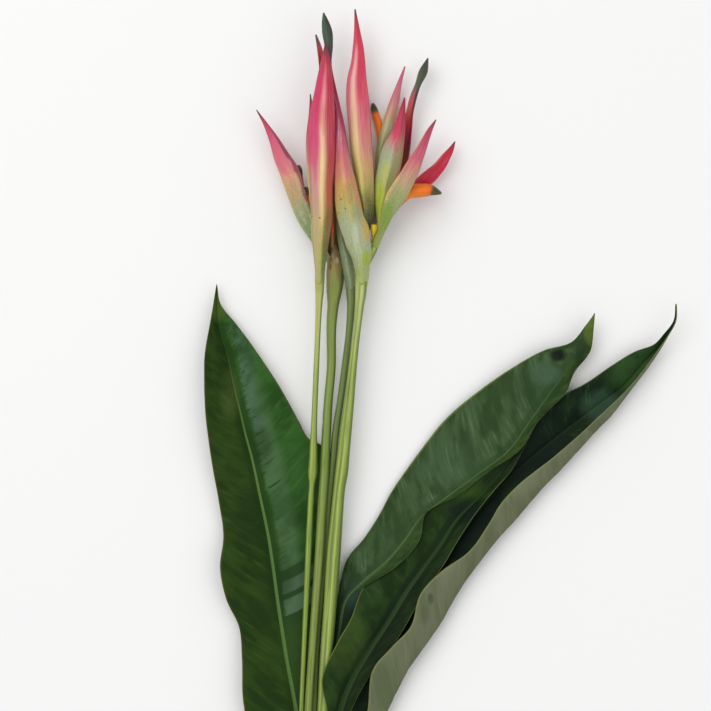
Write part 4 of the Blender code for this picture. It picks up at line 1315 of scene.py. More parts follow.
@dataclass
class Bract:
    """A folded, boat-shaped bract: keel, two flanks and an open side."""

    node: str
    slot: Slot
    finish: BractFinish
    keel_way: Way
    stations: tuple[Station, ...]
    base_keel: Way
    ruffle: float
    rows: int = 110
    columns: int = 37
    keel_power: float = 1.45
    turn_share: float = 0.27
    pleat: float = 0.22
    pleat_width: float = 12.0

    def build(self, tree: GrowthNodes) -> None:
        """Shape the bract and bring its skin to life.

        Args:
            tree: The tree that lifts a sheet's skin.
        """
        read = smooth_rows(self.stations, self.rows)
        middle, half, depth = read[:, :3], read[:, 3:4], read[:, 4:5]
        along = unit(np.gradient(middle, axis=0))
        place = np.linspace(0.0, 1.0, self.rows)[:, None]
        turned = share_of(place / self.turn_share)
        keel = (1.0 - turned) * np.array(self.base_keel) + turned * np.array(self.keel_way)
        keel = unit(keel - np.sum(along * keel, axis=1, keepdims=True) * along)
        side = np.cross(along, keel)
        share = np.linspace(-1.0, 1.0, self.columns)
        arch = 1.0 - np.abs(share) ** self.keel_power
        thick = wall_at(share)
        half_inside = np.maximum(half - thick, 0.2 * half)
        depth_inside = np.maximum(depth - thick * 1.25, 0.05 * depth)
        outer, inner = (
            middle[:, None] + wide[..., None] * side[:, None] + deep[..., None] * keel[:, None]
            for wide, deep in (
                (half * share, depth * arch),
                (half_inside * share, depth_inside * arch),
            )
        )
        outer[..., 2] = np.maximum(outer[..., 2], 0.0)
        inner[..., 2] = np.maximum(inner[..., 2], WALL)
        lift = unit(np.cross(np.gradient(outer, axis=1), np.gradient(outer, axis=0)))
        length = distances(middle)[:, None]
        values = {
            "along": length / length[-1],
            "length": length,
            "side": share,
            "vein": length,
            "out": np.abs(half * share),
            "calm": share_of(place * 8.0) * share_of((1.0 - place) * 8.0),
        }
        piece = new_sheet(self.node, outer, inner, lift, values)
        skin = self.finish.dress()
        inputs = {
            "Pleat": self.pleat * MM,
            "Pleat Width": self.pleat_width,
            "Ripple": self.ruffle * MM,
            "Seed": float(self.finish.seed),
            "Skin": skin,
            "Under Skin": skin,
        }
        complete(piece, self.node, tree, inputs)


@dataclass
class Leaf:
    """A leaf: two arched halves on a midrib, raised side veins and a channelled petiole."""

    node: str
    stations: tuple[tuple[Station, ...], ...]
    petiole: tuple[float, float]
    arches: tuple[float, float]
    rows: int = 330
    half_columns: int = 26
    rib_half_width: tuple[float, float] = (1.7, 0.3)
    rib_depth: tuple[float, float] = (3.4, 0.2)
    rib_fade: float = 0.7
    petiole_half_width: float = 2.7
    petiole_rows: tuple[float, ...] = (-303.0, -325.0, -348.0)
    vein_lean: float = 0.5
    vein_curve: float = 0.006
    pleat: float = 0.5
    pleat_width: float = 6.0
    ripple: float = 0.9

    def build(self, tree: GrowthNodes) -> None:
        """Shape the leaf and bring its skin to life.

        Args:
            tree: The tree that lifts a sheet's skin.
        """
        read = self._rows()
        length = distances(read[:, :3])[:, None]
        place = length / length[-1]
        rib_half = self.rib_half_width[1] + np.ptp(self.rib_half_width) * place
        rib_deep = self.rib_depth[1] + np.ptp(self.rib_depth) * place**self.rib_fade
        (left, left_out), (right, right_out) = self._half(read, 0), self._half(read, 1)
        upper = np.concatenate([left[:, :0:-1], right], axis=1)
        out = np.concatenate([left_out[:, :0:-1], right_out], axis=1)
        centre = self.half_columns
        share = np.concatenate(
            [-out[:, :centre] / out[:, :1], out[:, centre:] / out[:, -1:]], axis=1
        )
        facing = unit(np.cross(np.gradient(upper, axis=1), np.gradient(upper, axis=0)))
        facing *= np.sign(facing[:, centre, 2])[:, None, None]
        near = share_of(1.0 - (out / (rib_half * 1.35)) ** 2)
        lower = upper - facing * wall_at(share)[..., None]
        lower[..., 2] -= rib_deep * np.sqrt(near)
        lower[..., 2] = np.maximum(lower[..., 2], 0.0)
        upper[..., 2] = np.maximum(upper[..., 2] - 0.35 * near, WALL)
        from_base = length[-1] - length
        blade = share_of((out - rib_half) / 4.0) * share_of(out[:, :1] / 6.0)
        values = {
            "along": 1.0 - place,
            "length": from_base,
            "side": share,
            "vein": from_base - self.vein_lean * out - self.vein_curve * out**2,
            "out": out,
            "rib": rib_half,
            "calm": blade * share_of((1.0 - place) * 5.0),
        }
        piece = new_sheet(self.node, upper, lower, facing, values)
        finish = LEAF_FINISHES[self.node]
        inputs = {
            "Pleat": self.pleat * MM,
            "Pleat Width": self.pleat_width,
            "Ripple": self.ripple * MM,
            "Seed": float(finish.seed),
            "Skin": finish.dress(),
            "Under Skin": LEAF_UNDERSIDE.dress(),
        }
        complete(piece, self.node, tree, inputs)

    def _rows(self) -> np.ndarray:
        """Rows of midrib, left margin, right margin and, on a curled leaf, its outer pull."""
        rows = [tuple(np.ravel(station)) for station in self.stations]
        x, top = self.petiole
        half = self.petiole_half_width
        for y in self.petiole_rows:
            row = (x - half, y, top, x, y, top - 0.3, x + half, y, top)
            rows.append((*row, x + half / 2, y, top - 0.15)[:len(rows[0])])
        return smooth_rows([row[3:6] + row[:3] + row[6:] for row in rows], self.rows)

    def _half(self, read: np.ndarray, side: int) -> tuple[np.ndarray, np.ndarray]:
        """One half of the blade.

        Args:
            read: The leaf's rows.
            side: 0 for the left half, 1 for the right.

        Returns:
            The grid from midrib to margin, and each place's distance from the midrib.
        """
        middle, edge = read[:, :3], read[:, 3 + 3 * side:6 + 3 * side]
        span = np.linalg.norm(edge - middle, axis=1, keepdims=True)
        pull = (middle + edge) / 2 + np.array([0.0, 0.0, 1.0]) * self.arches[side] * span
        if side == 1 and read.shape[1] == 12:
            pull = 2 * read[:, 9:] - (middle + edge) / 2
        even = np.linspace(0.0, 1.0, self.half_columns + 1)
        share = (0.45 * even + 0.55 * even**2)[None, :, None]
        grid = (
            (1 - share) ** 2 * middle[:, None]
            + 2 * share * (1 - share) * pull[:, None]
            + share**2 * edge[:, None]
        )
        steps = np.linalg.norm(np.diff(grid, axis=1), axis=2)
        return grid, np.pad(np.cumsum(steps, axis=1), ((0, 0), (1, 0)))


@dataclass
class Tie:
    """The band of raffia round the stems and petioles."""

    circles: tuple[tuple[float, float, float], ...] = (
        (-37.0, 9.4, 1.9), (-33.9, 14.9, 3.0), (-30.5, 9.9, 2.5), (-24.4, 14.0, 4.2),
        (-36.0, 4.55, 3.4), (-29.6, 4.55, 3.4), (-17.4, 8.35, 3.4), (-23.2, 4.55, 3.4),
    )
    corners: int = 24
    middle_y: float = -307.5
    width: float = 9.0
    clear: float = 0.35
    strands: int = 8
    strand_depth: float = 0.32
    wander: float = 0.7
    rows: int = 220
    seed: float = 3.0

    def build(self, tree: GrowthNodes) -> None:
        """Wind the band.

        Args:
            tree: The tree that lays the strands.
        """
        loop = self._loop()
        corners = np.insert(loop, 1, self.middle_y, axis=1)
        edges = [(row, (row + 1) % self.rows) for row in range(self.rows)]
        values = {"length": np.linspace(0.0, 1.0, self.rows, endpoint=False)}
        piece = new_piece("tie", corners, edges, [], values)
        inputs = {
            "Strands": self.strands,
            "Band Width": self.width * 0.84 * MM,
            "Strand Width": self.width / self.strands * 0.62 * MM,
            "Strand Depth": self.strand_depth * MM,
            "Wander": self.wander * MM,
            "Seed": self.seed,
            "Skin": RaffiaFinish().dress(),
        }
        complete(piece, "tie", tree, inputs)

    def _loop(self) -> np.ndarray:
        """The closed line, as x and z, that the strands follow."""
        points = []
        for x, z, radius in self.circles:
            reach = radius + self.clear + self.strand_depth
            for corner in range(self.corners):
                turn = math.tau * corner / self.corners
                points.append((x + reach * math.cos(turn), z + reach * math.sin(turn)))
        points.sort()
        hull = np.array(self._chain(points) + self._chain(points[::-1]))
        closed = np.concatenate([hull, hull[:1]])
        knots = distances(closed)
        even = np.linspace(0.0, knots[-1], self.rows, endpoint=False)
        even_loop = [np.interp(even, knots, axis) for axis in closed.T]
        return np.roll(np.stack(even_loop, axis=1), self.rows // 4, axis=0)

    @staticmethod
    def _chain(ordered: list[tuple[float, float]]) -> list[tuple[float, float]]:
        """One side of the tight line round the points."""
        kept: list[tuple[float, float]] = []
        for point in ordered:
            while len(kept) > 1:
                (ax, az), (bx, bz) = kept[-2], kept[-1]
                if (bx - ax) * (point[1] - az) - (bz - az) * (point[0] - ax) > 1e-9:
                    break
                kept.pop()
            kept.append(point)
        return kept[:-1]


@dataclass
class Studio:
    """Floor, soft light, and the camera that looks straight down."""

    camera_height: float = 2.5
    frame_width: float = 0.474
    sensor: float = 36.0
    floor_size: float = 6.0
    aim_height: float = 0.012
    lights: tuple[tuple[str, Way, float, float], ...] = (
        ("key", (-1.2, 1.1, 2.4), 2.4, 42.0),
        ("fill", (1.5, -0.8, 2.2), 2.4, 16.0),
    )
    daylight: float = 0.56

    def build(self) -> None:
        """Set up the floor, the lights and the camera."""
        self._floor()
        self._camera()
        for light in self.lights:
            self._light(*light)
        world = bpy.data.worlds.new("studio_world")
        world.use_nodes = True
        background = world.node_tree.nodes["Background"]
        background.inputs["Color"].default_value = (1.0, 1.0, 1.0, 1.0)
        background.inputs["Strength"].default_value = self.daylight
        bpy.context.scene.world = world
        bpy.context.scene.view_settings.view_transform = "Standard"

    @staticmethod
    def _hang(name: str, data: Any, place: Any = (0.0, 0.0, 0.0)) -> bpy.types.Object:
        """Put a thing in the studio.

        Args:
            name: Its name.
            data: Its mesh, camera or light.
            place: Where it stands, in metres.

        Returns:
            The thing.
        """
        made = bpy.data.objects.new(name, data)
        made.location = place
        bpy.context.collection.objects.link(made)
        return made

    def _floor(self) -> None:
        """Lay the floor."""
        half = self.floor_size / 2
        corners = [(-half, -half, 0.0), (half, -half, 0.0), (half, half, 0.0), (-half, half, 0.0)]
        mesh = bpy.data.meshes.new("studio_floor")
        mesh.from_pydata(corners, [], [(0, 1, 2, 3)])
        mesh.materials.append(FloorFinish().dress())
        floor = self._hang("studio_floor", mesh)

    def _camera(self) -> None:
        """Hang the camera over the middle of the photograph."""
        data = bpy.data.cameras.new("overhead")
        data.sensor_width = self.sensor
        data.lens = self.sensor * (self.camera_height - self.aim_height) / self.frame_width
        x, y, _ = -BUNCH_MIDDLE * MM
        bpy.context.scene.camera = self._hang("overhead", data, (x, y, self.camera_height))

    def _light(self, name: str, place: Way, size: float, power: float) -> None:
        """Add a soft light that faces the bunch.

        Args:
            name: Its name.
            place: Where it stands, in metres.
            size: Its width.
            power: Its power in watts.
        """
        data = bpy.data.lights.new(name, "AREA")
        data.size = size
        data.energy = power
        x, y, z = place
        tilt = math.atan2(math.hypot(x, y), z)
        self._hang(name, data, place).rotation_euler = (tilt, 0.0, math.atan2(x, -y))


CRIMSON = (196, 52, 88)
DUSTY = (204, 104, 118)
MAROON = (140, 40, 58)
PEACH = (208, 160, 112)
OLIVE = (168, 162, 78)
LIME = (166, 184, 56)
TIP_GREEN = (60, 82, 60)
TIP_DARK = (52, 54, 44)

BRACT_FINISHES = {
    "bract_1_1": BractFinish(
        "tall_pink_bract", (
            (0, 170, 170, 92), (0.12, 180, 170, 108), (0.25, 184, 166, 116), (0.34, 192, 150, 128),
            (0.42, 202, 138, 134), (0.5, 205, 92, 120), (0.62, 206, 64, 110), (0.84, 200, 54, 94),
            (0.95, 176, 50, 74), (1, *TIP_DARK),
        ), (
            (0, 160, 170, 82), (0.14, 172, 166, 88), (0.27, 206, 184, 112), (0.38, 232, 208, 146),
            (0.52, 236, 214, 152), (0.58, 235, 198, 158), (0.64, 226, 164, 136),
            (0.71, 216, 140, 132), (0.78, 235, 150, 150), (0.87, 222, 108, 122),
            (0.91, 196, 54, 84), (1, *TIP_DARK),
        ), (
            (0, 116, 132, 60), (0.12, 114, 114, 56), (0.21, 130, 110, 60), (0.27, 158, 108, 68),
            (0.35, 190, 104, 80), (0.46, 190, 88, 84), (0.6, 194, 70, 88), (0.86, 190, 50, 78),
            (0.95, 160, 44, 66), (1, *TIP_DARK),
        ),
        keel_reach=(0.5, 0.32), keel_share=0.9, bloom_top=0.2, bloom_share=0.25, seed=1,
        bands=(
            # Painted shade on the right flank: dark olive low down and dark maroon along its
            # margin.
            Band((0.05, 0.6), (0, 0.36), (116, 102, 48), 0.45, 0.18),
            Band((0.84, 1.5), (0.25, 0.7), (134, 40, 52), 0.6, 0.08),
            Band((-1.5, -0.84), (0.02, 0.5), (150, 120, 84), 0.5, 0.08),
        ),
        marks=(
            Mark((-23.7, 91), (0.9, 0.8), (96, 66, 30), 0.9),
            Mark((-28.8, 91.6), (0.6, 0.7), (120, 92, 50), 0.7),
        ),
    ),
    "bract_1_2": BractFinish(
        "narrow_pink_bract", (
            (0, *OLIVE), (0.3, 200, 176, 116), (0.55, 208, 120, 120), (0.9, *CRIMSON),
            (1, *TIP_DARK),
        ), (
            (0, 170, 186, 90), (0.5, 204, 206, 120), (0.7, *DUSTY), (1, *CRIMSON),
        ),
        keel_reach=(0.6, 0.3), seed=2,
    ),
    "bract_1_3": BractFinish(
        "back_pink_bract", (
            (0, *OLIVE), (0.4, *PEACH), (0.7, 196, 84, 106), (0.84, 176, 48, 68),
            (0.93, 160, 56, 66), (0.965, 66, 66, 56), (1, 52, 66, 56),
        ), (
            (0, *OLIVE), (0.7, *DUSTY), (0.93, 170, 50, 68), (0.97, 60, 72, 58), (1, *TIP_DARK),
        ),
        wander=0.08, seed=3,
    ),
    "bract_2_1": BractFinish(
        "left_spread_bract", (
            (0, 128, 146, 84), (0.16, 132, 148, 92), (0.34, 146, 152, 100), (0.46, 180, 152, 112),
            (0.54, 206, 150, 118), (0.64, 206, 112, 122), (0.8, 206, 84, 118), (0.92, 188, 56, 88),
            (1, *TIP_DARK),
        ), (
            (0, 150, 162, 104), (0.34, 176, 178, 112), (0.5, 216, 176, 112), (0.68, 214, 128, 128),
            (1, 170, 50, 76),
        ),
        keel_reach=(0.35, 0.2), margin=(170, 60, 76), margin_share=0.3, bloom_top=0.5,
        bloom=(172, 182, 160), bloom_share=0.5, seed=4,
        bands=(
            Band((-0.2, 0.9), (0.4, 0.58), (216, 166, 92), 0.45, 0.16),
            Band((0.1, 1.5), (-0.2, 0.34), (96, 136, 62), 0.6, 0.16),
            Band((-0.9, -0.1), (0.5, 0.62), (176, 150, 156), 0.5, 0.08),
            Band((0.82, 1.5), (0.3, 1.2), (122, 38, 58), 0.85, 0.08),
        ),
    ),
    "bract_2_2": BractFinish(
        "olive_ruffled_bract", (
            (0, 146, 156, 88), (0.14, 162, 168, 92), (0.3, 166, 152, 82), (0.45, 156, 110, 70),
            (0.7, *MAROON), (1, *TIP_DARK),
        ), (
            (0, 172, 178, 98), (0.5, 164, 140, 80), (1, *MAROON),
        ),
        bloom_share=0.3, seed=5,
        bands=(
            Band((-0.5, 0.1), (0, 0.5), (140, 104, 62), 0.4, 0.2),
        ),
    ),
    "bract_3_1": BractFinish(
        "sheath_bract", (
            (0, 126, 142, 96), (0.3, 118, 136, 98), (0.6, 112, 120, 78), (1, *MAROON),
        ), (
            (0, 142, 156, 112), (0.5, 128, 142, 100), (1, *MAROON),
        ),
        bloom_top=0.5, bloom=(158, 168, 142), bloom_share=0.35, seed=6,
    ),
    "bract_3_2": BractFinish(
        "tall_crimson_bract", (
            (0, 112, 120, 62), (0.12, 158, 156, 78), (0.24, 196, 176, 96), (0.36, 212, 172, 116),
            (0.48, 214, 128, 126), (0.62, 216, 88, 114), (0.84, 212, 58, 88), (0.95, 200, 50, 76),
            (0.985, 120, 50, 60), (1, *TIP_DARK),
        ), (
            (0, 128, 132, 64), (0.16, 196, 186, 90), (0.3, 226, 208, 120), (0.4, 236, 216, 148),
            (0.52, 240, 206, 162), (0.6, 240, 198, 168), (0.7, 240, 190, 182),
            (0.8, 236, 160, 160), (0.87, 214, 62, 90), (1, *TIP_DARK),
        ), (
            (0, 66, 72, 42), (0.06, 74, 80, 46), (0.13, 116, 116, 58), (0.2, 184, 168, 96),
            (0.28, 202, 162, 110), (0.38, 206, 134, 122), (0.52, 208, 98, 114),
            (0.66, 208, 66, 92), (0.84, 206, 50, 82), (0.95, 190, 46, 70), (1, *TIP_DARK),
        ),
        keel_reach=(0.8, 0.24), keel_share=0.9, keel_place=(-0.4, 0.05), bloom_top=0.2,
        bloom_share=0.3, wander=0.1, seed=7,
    ),
    "bract_3_3": BractFinish(
        "narrow_back_bract", (
            # Painted shade: flank and keel colours start near-black at the base, in the crevice by
            # the rachis.
            (0, 58, 46, 30), (0.08, 74, 62, 36), (0.16, 118, 128, 60), (0.3, 146, 160, 72),
            (0.5, 166, 168, 104), (0.62, 190, 188, 146), (0.7, 206, 158, 128),
            (0.82, 200, 108, 128), (1, 196, 80, 116),
        ), (
            (0, 64, 50, 32), (0.1, 90, 80, 44), (0.2, *OLIVE), (0.5, 176, 178, 112),
            (0.66, 196, 176, 132), (1, *CRIMSON),
        ),
        bloom_top=0.4, bloom_share=0.25, seed=8,
    ),
    "bract_4_1": BractFinish(
        "spear_bract", (
            (0, 156, 172, 72), (0.08, 160, 172, 112), (0.24, 172, 182, 146), (0.29, 184, 178, 104),
            (0.35, 202, 170, 94), (0.4, 210, 146, 112), (0.45, 208, 118, 122),
            (0.54, 188, 80, 120), (0.64, 156, 42, 76), (0.8, 146, 36, 62), (0.85, 92, 60, 62),
            (0.885, 58, 84, 68), (1, *TIP_GREEN),
        ), (
            (0, 160, 178, 76), (0.24, 178, 186, 150), (0.34, 206, 178, 100), (0.42, 216, 146, 120),
            (0.54, 200, 92, 120), (0.66, 164, 44, 78), (0.84, 110, 60, 64), (0.885, 66, 92, 74),
            (1, *TIP_DARK),
        ), (
            (0, 150, 168, 70), (0.08, 156, 170, 128), (0.26, 170, 176, 140), (0.31, 192, 174, 106),
            (0.37, 208, 152, 106), (0.42, 214, 130, 122), (0.48, 204, 106, 122),
            (0.56, 178, 66, 100), (0.66, 146, 38, 68), (0.8, 140, 34, 60), (0.85, 84, 56, 58),
            (0.885, 48, 70, 56), (1, *TIP_DARK),
        ),
        keel_reach=(0.2, 0.12), keel_share=0.35, bloom_top=0.34, bloom=(176, 188, 158),
        shine=(0.48, 0.8), seed=9,
        bands=(
            Band((0.66, 1.5), (0.22, 0.5), (206, 144, 122), 0.8, 0.16),
            Band((0.84, 1.5), (0.46, 0.84), (112, 30, 48), 0.6),
            Band((-0.7, 0), (0.44, 0.6), (216, 140, 150), 0.5),
        ),
        marks=(
            Mark((7.5, 86), (5, 14), (206, 170, 72), 0.75),
            Mark((-2, 96), (7, 12), (176, 164, 78), 0.5),
            Mark((7.5, 64), (4.5, 8), (156, 174, 30), 0.9),
            Mark((0, 78), (2.6, 16), (192, 202, 178), 0.4),
            Mark((-4.5, 108), (5, 9), (150, 118, 60), 0.35), Mark((3, 53), (6, 9), (166, 180, 96)),
            Mark((-9.5, 103.3), (0.9, 0.9), (134, 78, 52), 0.85),
            Mark((-6.7, 97.1), (0.8, 0.9), (128, 88, 48), 0.8),
            Mark((-11.4, 94.4), (0.7, 0.8), (134, 96, 52), 0.8),
            Mark((-4, 101), (0.7, 0.7), (150, 96, 60), 0.7),
            Mark((1.4, 109.4), (0.8, 0.7), (150, 84, 66), 0.7),
        ),
    ),
    "bract_4_2": BractFinish(
        "right_fan_bract", (
            (0, 158, 172, 62), (0.12, 126, 144, 58), (0.24, 116, 136, 56), (0.36, 140, 148, 86),
            (0.48, 156, 148, 104), (0.57, 180, 130, 110), (0.66, 190, 92, 108), (0.8, 180, 62, 94),
            (0.92, 170, 48, 84), (1, *MAROON),
        ), (
            (0, 126, 148, 58), (0.3, 142, 152, 104), (0.54, 156, 154, 116), (0.7, 192, 110, 112),
            (1, *MAROON),
        ),
        keel_reach=(0.5, 0.3), margin=(206, 132, 78), margin_share=0.4, bloom_top=0.5,
        bloom=(160, 168, 140), bloom_share=0.35, seed=10,
        bands=(
            Band((-0.9, -0.3), (0.34, 0.74), (196, 150, 118), 0.55, 0.2),
            Band((-1.5, -0.86), (0.26, 0.66), (236, 176, 118), 0.8),
            Band((-0.2, 0.4), (0.24, 0.62), (208, 140, 74), 0.35, 0.2),
            Band((0.5, 1.5), (0.3, 0.8), (184, 134, 120), 0.4, 0.2),
        ),
        marks=(
            Mark((20, 93), (6, 14), (118, 148, 48), 0.7),
            Mark((27, 106), (6, 12), (132, 152, 78), 0.45),
        ),
    ),
    "bract_4_3": BractFinish(
        "inner_fan_bract", (
            (0, 150, 172, 48), (0.16, 172, 184, 44), (0.32, 174, 184, 62), (0.44, 164, 174, 126),
            (0.58, 162, 170, 142), (0.66, 188, 134, 126), (0.73, 204, 66, 98), (0.88, 196, 40, 78),
            (1, *MAROON),
        ), (
            (0, *LIME), (0.34, 178, 186, 84), (0.55, 170, 174, 144), (0.67, 204, 76, 100),
            (0.76, 198, 42, 78), (1, 190, 40, 74),
        ), (
            (0, 150, 172, 50), (0.24, 168, 180, 62), (0.42, 176, 180, 112), (0.58, 178, 168, 126),
            (0.68, 196, 118, 112), (0.78, 194, 56, 84), (1, *MAROON),
        ),
        keel_reach=(0.3, 0.4), keel_share=0.7, bloom_top=0.62, bloom=(168, 176, 156),
        bloom_share=0.45, seed=11,
        bands=(
            Band((0.7, 1.5), (0.2, 0.7), (196, 120, 62), 0.6, 0.12),
            Band((-0.7, 0.1), (0.3, 0.52), (188, 190, 84), 0.5, 0.12),
        ),
        marks=(
            Mark((16.6, 100), (5, 19), (176, 192, 40), 0.75),
            Mark((20, 122), (4, 12), (184, 188, 84), 0.5),
        ),
    ),
    "bract_4_4": BractFinish(
        "leafy_tipped_bract", (
            (0, *OLIVE), (0.3, 170, 90, 90), (0.5, 156, 38, 68), (0.62, 186, 48, 62),
            (0.7, 110, 52, 68), (0.78, 84, 62, 66), (0.84, 62, 76, 58), (1, *TIP_DARK),
        ), (
            (0, *OLIVE), (0.5, *MAROON), (0.68, 180, 76, 80), (0.8, *TIP_GREEN), (1, *TIP_DARK),
        ), (
            (0, *OLIVE), (0.5, 156, 38, 68), (0.62, 196, 52, 62), (0.7, 200, 86, 84),
            (0.77, 158, 88, 90), (0.84, 70, 84, 62), (1, *TIP_DARK),
        ),
        keel_share=0.4, wander=0.08, seed=12,
    ),
    "bract_4_5": BractFinish(
        "lowest_bract", (
            (0, *OLIVE), (0.3, 190, 90, 108), (0.45, 186, 18, 56), (0.88, 196, 20, 56),
            (0.97, 140, 36, 56), (1, *TIP_DARK),
        ), (
            (0, *PEACH), (0.4, 206, 96, 124), (0.8, 200, 46, 80), (1, *MAROON),
        ), (
            (0, *OLIVE), (0.3, 204, 124, 134), (0.5, 208, 92, 124), (0.84, 204, 74, 108),
            (1, *TIP_DARK),
        ),
        keel_reach=(0.4, 0.25), keel_share=0.6, seed=13,
    ),
}

STEM_FINISHES = {
    "stem_1": StemFinish(
        "thin_pale_stem", (
            (0, 116, 142, 52), (0.5, 120, 146, 54), (0.62, 130, 150, 64), (0.76, 154, 168, 88),
            (0.9, 186, 186, 112), (1, 196, 190, 120),
        ),
        streak=(180, 192, 106), shade=(80, 102, 30), highlight_turn=-0.4, seed=1,
        marks=(
            Mark((-24.4, 47), (5, 7), (146, 152, 78), 0.7),
        ),
    ),
    "stem_2": StemFinish(
        "mid_green_stem", (
            (0, 112, 130, 58), (0.5, 122, 138, 62), (0.66, 112, 136, 58), (0.86, 130, 146, 70),
            (0.91, 140, 140, 74), (0.94, 142, 116, 64), (1, 120, 84, 60),
        ),
        streak=(150, 166, 86), shade=(66, 86, 30), highlight_turn=-0.3, seed=4,
        marks=(
            Mark((-14, 70), (8, 11), (112, 74, 52), 0.85),
            Mark((-10.5, 55), (3, 12), (96, 88, 44), 0.75),
            Mark((-16, 52), (3, 10), (150, 138, 84)), Mark((-13, 46), (3, 8), (112, 140, 54), 0.7),
            Mark((-12.9, 63.1), (1.9, 3), (178, 170, 130), 0.85),
            Mark((-15, 66.5), (1.8, 2.4), (164, 154, 106), 0.8),
            Mark((-14.9, 75), (2.6, 2.2), (78, 50, 34), 0.8),
            Mark((-16.8, 59), (1.5, 3), (100, 76, 44), 0.7),
            Mark((-8.9, 54), (2, 4.6), (66, 86, 38), 0.85),
            Mark((-11, 69), (1.6, 2.4), (120, 128, 66), 0.7),
        ),
    ),
    "stem_3": StemFinish(
        "grey_green_stem", (
            (0, 90, 112, 48), (0.6, 100, 122, 56), (0.86, 112, 128, 70), (1, 146, 154, 110),
        ),
        streak=(132, 148, 82), shade=(60, 78, 34), highlight_turn=-0.3, seed=7,
    ),
    "stem_4": StemFinish(
        "thick_pale_stem", (
            (0, 120, 142, 60), (0.5, 130, 148, 66), (0.62, 138, 156, 66), (0.78, 152, 168, 84),
            (0.88, 186, 194, 128), (0.93, 158, 178, 70), (1, *LIME),
        ),
        streak=(182, 198, 104), shade=(84, 106, 44), highlight_turn=-0.72, second=0.05, seed=10,
    ),
}

ORANGE_FLORET = FloretFinish(
    "orange_floret", (
        (0, 246, 150, 40), (0.3, 250, 136, 22), (0.72, 248, 122, 16), (0.82, 232, 104, 16),
        (0.86, 60, 66, 40), (0.93, 34, 48, 34), (1, 70, 84, 66),
    ), seed=1)
SHORT_TIPPED_FLORET = FloretFinish(
    "short_tipped_floret", (
        (0, 232, 124, 36), (0.4, 246, 122, 24), (0.8, 250, 128, 24), (0.9, 236, 108, 18),
        (0.93, 60, 66, 40), (0.965, 34, 48, 34), (1, 50, 60, 44),
    ), seed=2)
EMBER_FLORET = FloretFinish(
    "ember_floret", (
        (0, 120, 118, 60), (0.2, 150, 96, 54), (0.45, 206, 84, 48), (0.8, 196, 70, 60),
        (1, 90, 50, 40),
    ), seed=5)
YELLOW_FLORET = FloretFinish(
    "yellow_floret", (
        (0, 176, 176, 50), (0.3, 226, 200, 44), (0.9, 232, 208, 40), (1, 150, 110, 40),
    ), seed=3)
FLORET_FINISHES = {
    "floret_2_3": EMBER_FLORET,
    "floret_3_1": SHORT_TIPPED_FLORET,
    "floret_4_2": YELLOW_FLORET,
}

